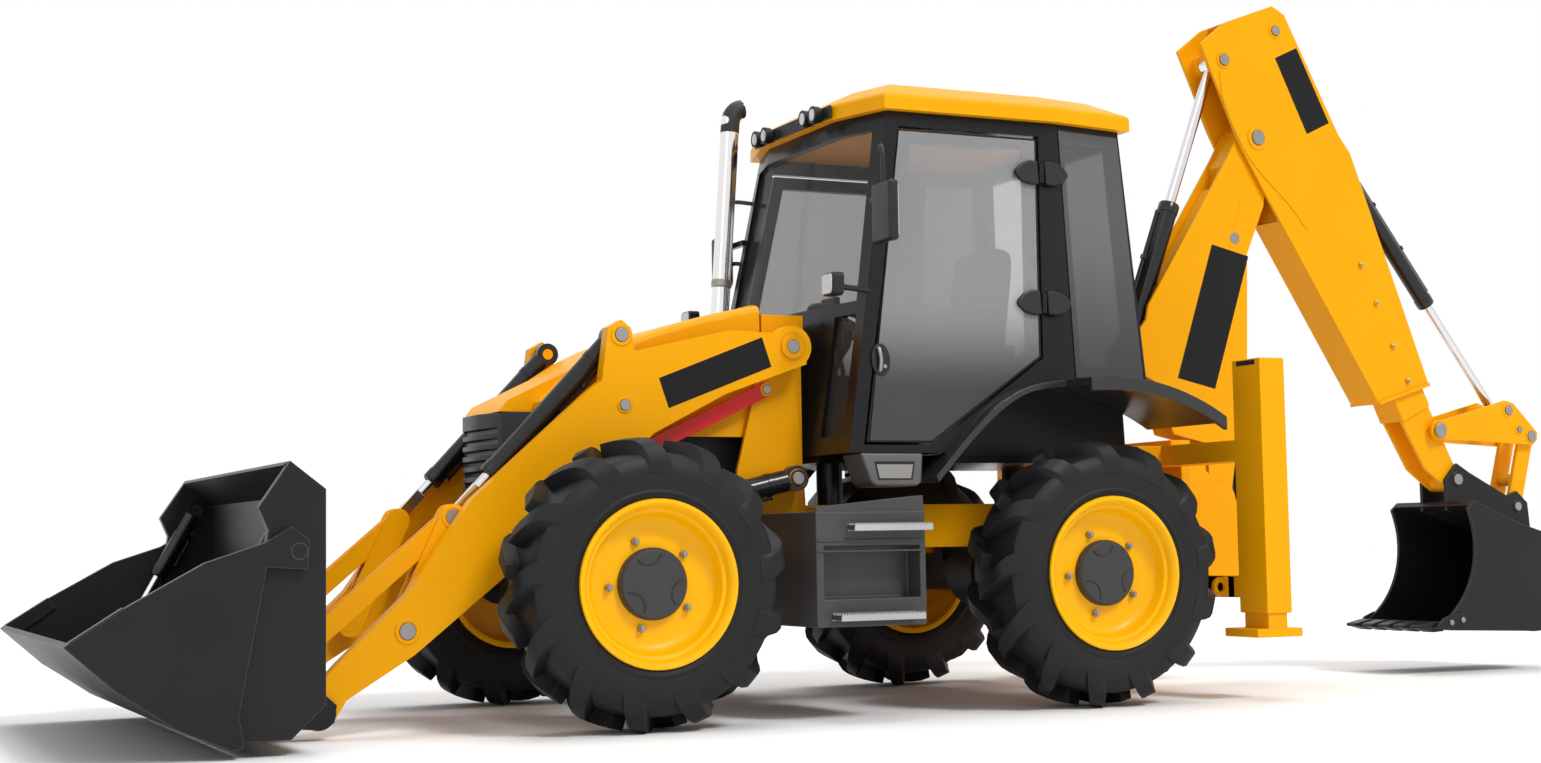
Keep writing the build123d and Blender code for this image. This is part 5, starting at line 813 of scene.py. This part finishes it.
# Exhaust: the sooty bent tip and a clamp
EXHAUST_Y = -300
TIP = ((1227, 2772), (1225, 2800), (1221, 2834), (1211, 2862), (1189, 2886), (1161, 2897))
CLAMP = ((0.046, 0.0), (0.050, 0.006), (0.050, 0.034), (0.046, 0.040))
STACK = at(1225, EXHAUST_Y, 2800) - at(1300, EXHAUST_Y, 1805)
mesh = bmesh.new()
tube(mesh, rounded([at(x, EXHAUST_Y, z) for x, z in TIP], 4), 0.0462, 36)
piece(mesh, "exhaust_tip", "chassis", "soot_and_painted_shade")
mesh = bmesh.new()
lathe(mesh, CLAMP, at(1285, EXHAUST_Y, 2004), 40, STACK)
piece(mesh, "exhaust_clamp", "chassis", "bare_steel", 0.001)


# Steps: folded apron, seams, serrated bright treads and the sill under the doors
TOOTH_PITCH = 13
RIB_PITCH = 14


def treads(mesh, x0, x1, y0, y1, z0, z1):
    """Bright steps on both sides, with toothed inner and outer edges and ribs between them."""
    teeth = [(x0, z0), (x1, z0)]
    for k in range((x1 - x0) // TOOTH_PITCH, 0, -1):
        teeth += [(x0 + k * TOOTH_PITCH, z1 - 4), (x0 + (k - 0.5) * TOOTH_PITCH, z1 + 8)]
    teeth.append((x0, z1 - 4))
    both(mesh, teeth, y1 - 4, y1 + 2.5)
    both(mesh, teeth, y0, y0 + 5)
    for y in range(y0 + RIB_PITCH, y1 - 8, RIB_PITCH):
        both(mesh, ((x0, z1 - 3), (x1, z1 - 3), (x1, z1 + 2), (x0, z1 + 2)), y, y + 5)


mesh = bmesh.new()
treads(mesh, 987, 1392, 1046, 1130, 428, 455)
treads(mesh, 932, 1312, 1046, 1110, 806, 833)
piece(mesh, "step_treads", "chassis", "tread_metal", 0.0008, 1)
mesh = bmesh.new()
both(mesh, ((1456, 884), (1456, 908), (934, 957), (934, 884)), 1024, 1034)
both(mesh, ((1456, 899), (1456, 908), (934, 957), (934, 948)), 960, 1026)
for side in (1, -1):
    for low in (762, 716):
        box(mesh, (936, side * 1036, low), (1454, side * 1047, low + 9))
piece(mesh, "step_aprons", "chassis", "step_paint", 0.003)
plates("door_sills", "chassis", "sill_grey",
       ((1132, 1149), (818, 1149), (826, 1020), (846, 1003), (1058, 1000), (1082, 1016)), 650, 838,
       0.016, 4)
# Dark plates of painted shade where the grey sills have their handle recesses
plates("door_sill_recesses", "chassis", "dark_plastic",
       ((1066, 1112), (862, 1112), (876, 1030), (1048, 1030)), 836, 840, 0.001)
plates("door_sill_plates", "chassis", "bare_steel",
       ((1056, 1098), (872, 1098), (884, 1036), (1042, 1036)), 838, 842, 0.003)

# Legs: the slot across the front of each head, drawn as a thin black sheet of painted shade
mesh = bmesh.new()
for side in (1, -1):
    box(mesh, (-789.6, side * 1005, 1556), (-788.4, side * 1140, 1578))
piece(mesh, "leg_slot_shades", "chassis", "soot_and_painted_shade")

# Shovel: bolted edge, corner plates and wear strips
mesh = bmesh.new()
prism(mesh, ((4322, 296), (4338, 288), (4499, 433), (4484, 444)), -1160, 1160)
both(mesh, ((4488, 446), (4300, 566), (4268, 520), (4330, 470), (4440, 400)), 1118, 1170)
both(mesh, ((4108, 142), (4102, 118), (4330, 270), (4322, 288)), 1120, 1172)
piece(mesh, "shovel_edge", "shovel_clam", "dark_paint", 0.003)
EDGE_BOLTS, EDGE_BOLT_PITCH = 13, 180
EDGE_BOLT_AXIS = Vector((-0.67, 0, 0.74))
mesh = bmesh.new()
for k in range(EDGE_BOLTS):
    spot = at(4395, (k - (EDGE_BOLTS - 1) / 2) * EDGE_BOLT_PITCH, 362)
    cylinder(mesh, spot - EDGE_BOLT_AXIS * 0.006, spot + EDGE_BOLT_AXIS * 0.009, 0.017, 6)
piece(mesh, "shovel_edge_bolts", "shovel_clam", "bare_steel", 0.0015)

# Digging bucket: side cutters with bolts, and pointed tooth caps
CUTTER = ((-2585, 252), (-2720, 240), (-2830, 262), (-2790, 330), (-2700, 322), (-2640, 300))
TOOTH = ((-2660, 232), (-2640, 284), (-2592, 286), (-2494, 266), (-2492, 254), (-2590, 228))
TOOTH_HALF_WIDTH = 42
mesh = bmesh.new()
both(mesh, CUTTER, 300, 315)
for y in (-250, -125, 0, 125, 250):
    prism(mesh, TOOTH, y - TOOTH_HALF_WIDTH, y + TOOTH_HALF_WIDTH)
piece(mesh, "bucket_teeth", "digging_bucket", "dark_paint", 0.005)
mesh = bmesh.new()
for side in (1, -1):
    for x, z in ((-2690, 278), (-2770, 290)):
        foot = at(x, side * 314, z)
        cylinder(mesh, foot, foot + side * ACROSS * 0.010, 0.016, 6)
piece(mesh, "bucket_cutter_bolts", "digging_bucket", "bare_steel", 0.0015)

# Stage: a pale floor, soft studio light and a white surround
FLOOR_HALF = 60.0
mesh = bmesh.new()
bmesh.ops.create_grid(mesh, x_segments=1, y_segments=1, size=FLOOR_HALF)
floor_data = bpy.data.meshes.new("floor")
mesh.to_mesh(floor_data)
mesh.free()
floor = bpy.data.objects.new("floor", floor_data)
bpy.context.scene.collection.objects.link(floor)
floor_paint = bpy.data.materials.new("pale floor")
floor_paint.use_nodes = True
floor_surface = floor_paint.node_tree.nodes["Principled BSDF"]
floor_surface.inputs["Base Color"].default_value = (0.95, 0.95, 0.95, 1)
floor_surface.inputs["Roughness"].default_value = 0.9
floor_surface.inputs["Specular IOR Level"].default_value = 0.1
floor_data.materials.append(floor_paint)

# Camera, transmitted and glossy rays meet plain white; the other rays take the graded sky
world = bpy.data.worlds.new("studio")
bpy.context.scene.world = world
world.use_nodes = True
nodes = world.node_tree.nodes
links = world.node_tree.links
direction = nodes.new("ShaderNodeTexCoord")
height = nodes.new("ShaderNodeSeparateXYZ")
links.new(direction.outputs["Generated"], height.inputs["Vector"])
sky = nodes.new("ShaderNodeValToRGB")
sky.color_ramp.elements[0].position = 0.0
sky.color_ramp.elements[0].color = (0.42, 0.42, 0.42, 1)
sky.color_ramp.elements[1].position = 0.85
sky.color_ramp.elements[1].color = (1.0, 1.0, 1.0, 1)
links.new(height.outputs["Z"], sky.inputs["Fac"])
light = nodes["Background"]
links.new(sky.outputs["Color"], light.inputs["Color"])
light.inputs["Strength"].default_value = 0.68
white = nodes.new("ShaderNodeBackground")
white.inputs["Color"].default_value = (1.0, 1.0, 1.0, 1)
white.inputs["Strength"].default_value = 1.0
rays = nodes.new("ShaderNodeLightPath")
seen = nodes.new("ShaderNodeMath")
seen.operation = "MAXIMUM"
links.new(rays.outputs["Is Camera Ray"], seen.inputs[0])
links.new(rays.outputs["Is Transmission Ray"], seen.inputs[1])
shown = nodes.new("ShaderNodeMath")
shown.operation = "MAXIMUM"
links.new(seen.outputs["Value"], shown.inputs[0])
links.new(rays.outputs["Is Glossy Ray"], shown.inputs[1])
surround = nodes.new("ShaderNodeMixShader")
links.new(shown.outputs["Value"], surround.inputs["Fac"])
links.new(light.outputs["Background"], surround.inputs[1])
links.new(white.outputs["Background"], surround.inputs[2])
links.new(surround.outputs["Shader"], nodes["World Output"].inputs["Surface"])


def sun(name, direction, strength, spread):
    """A far lamp that shines along a direction."""
    data = bpy.data.lights.new(name, "SUN")
    data.energy = strength
    data.angle = math.radians(spread)
    lamp = bpy.data.objects.new(name, data)
    lamp.rotation_euler = Vector(direction).to_track_quat("-Z", "Y").to_euler()
    bpy.context.scene.collection.objects.link(lamp)


sun("key", (0.28, -0.78, -0.85), 1.5, 14)
sun("overhead", (0.1, 0.2, -1.0), 1.0, 35)
sun("fill", (-0.7, -0.6, -0.5), 0.24, 40)

# Camera fitted to the photograph
CAMERA_PLACE = Vector((4.986, 9.010, 0.756))
CAMERA_YAW = math.radians(25.29)
CAMERA_PITCH = math.radians(4.42)
CAMERA_ROLL = math.radians(0.93)
CAMERA_LENS = 49.12
SENSOR_WIDTH = 36.0
ahead = Vector((-math.sin(CAMERA_YAW) * math.cos(CAMERA_PITCH),
                -math.cos(CAMERA_YAW) * math.cos(CAMERA_PITCH), math.sin(CAMERA_PITCH)))
level = ahead.cross(UP).normalized()
down = ahead.cross(level)
right = math.cos(CAMERA_ROLL) * level + math.sin(CAMERA_ROLL) * down
below = math.cos(CAMERA_ROLL) * down - math.sin(CAMERA_ROLL) * level
lens = bpy.data.cameras.new("photo camera")
lens.lens = CAMERA_LENS
lens.sensor_width = SENSOR_WIDTH
camera = bpy.data.objects.new("photo camera", lens)
camera_turn = Matrix((right, -below, -ahead)).transposed().to_4x4()
camera.matrix_world = Matrix.Translation(CAMERA_PLACE) @ camera_turn
bpy.context.scene.collection.objects.link(camera)
bpy.context.scene.camera = camera
bpy.context.scene.view_settings.view_transform = "Standard"
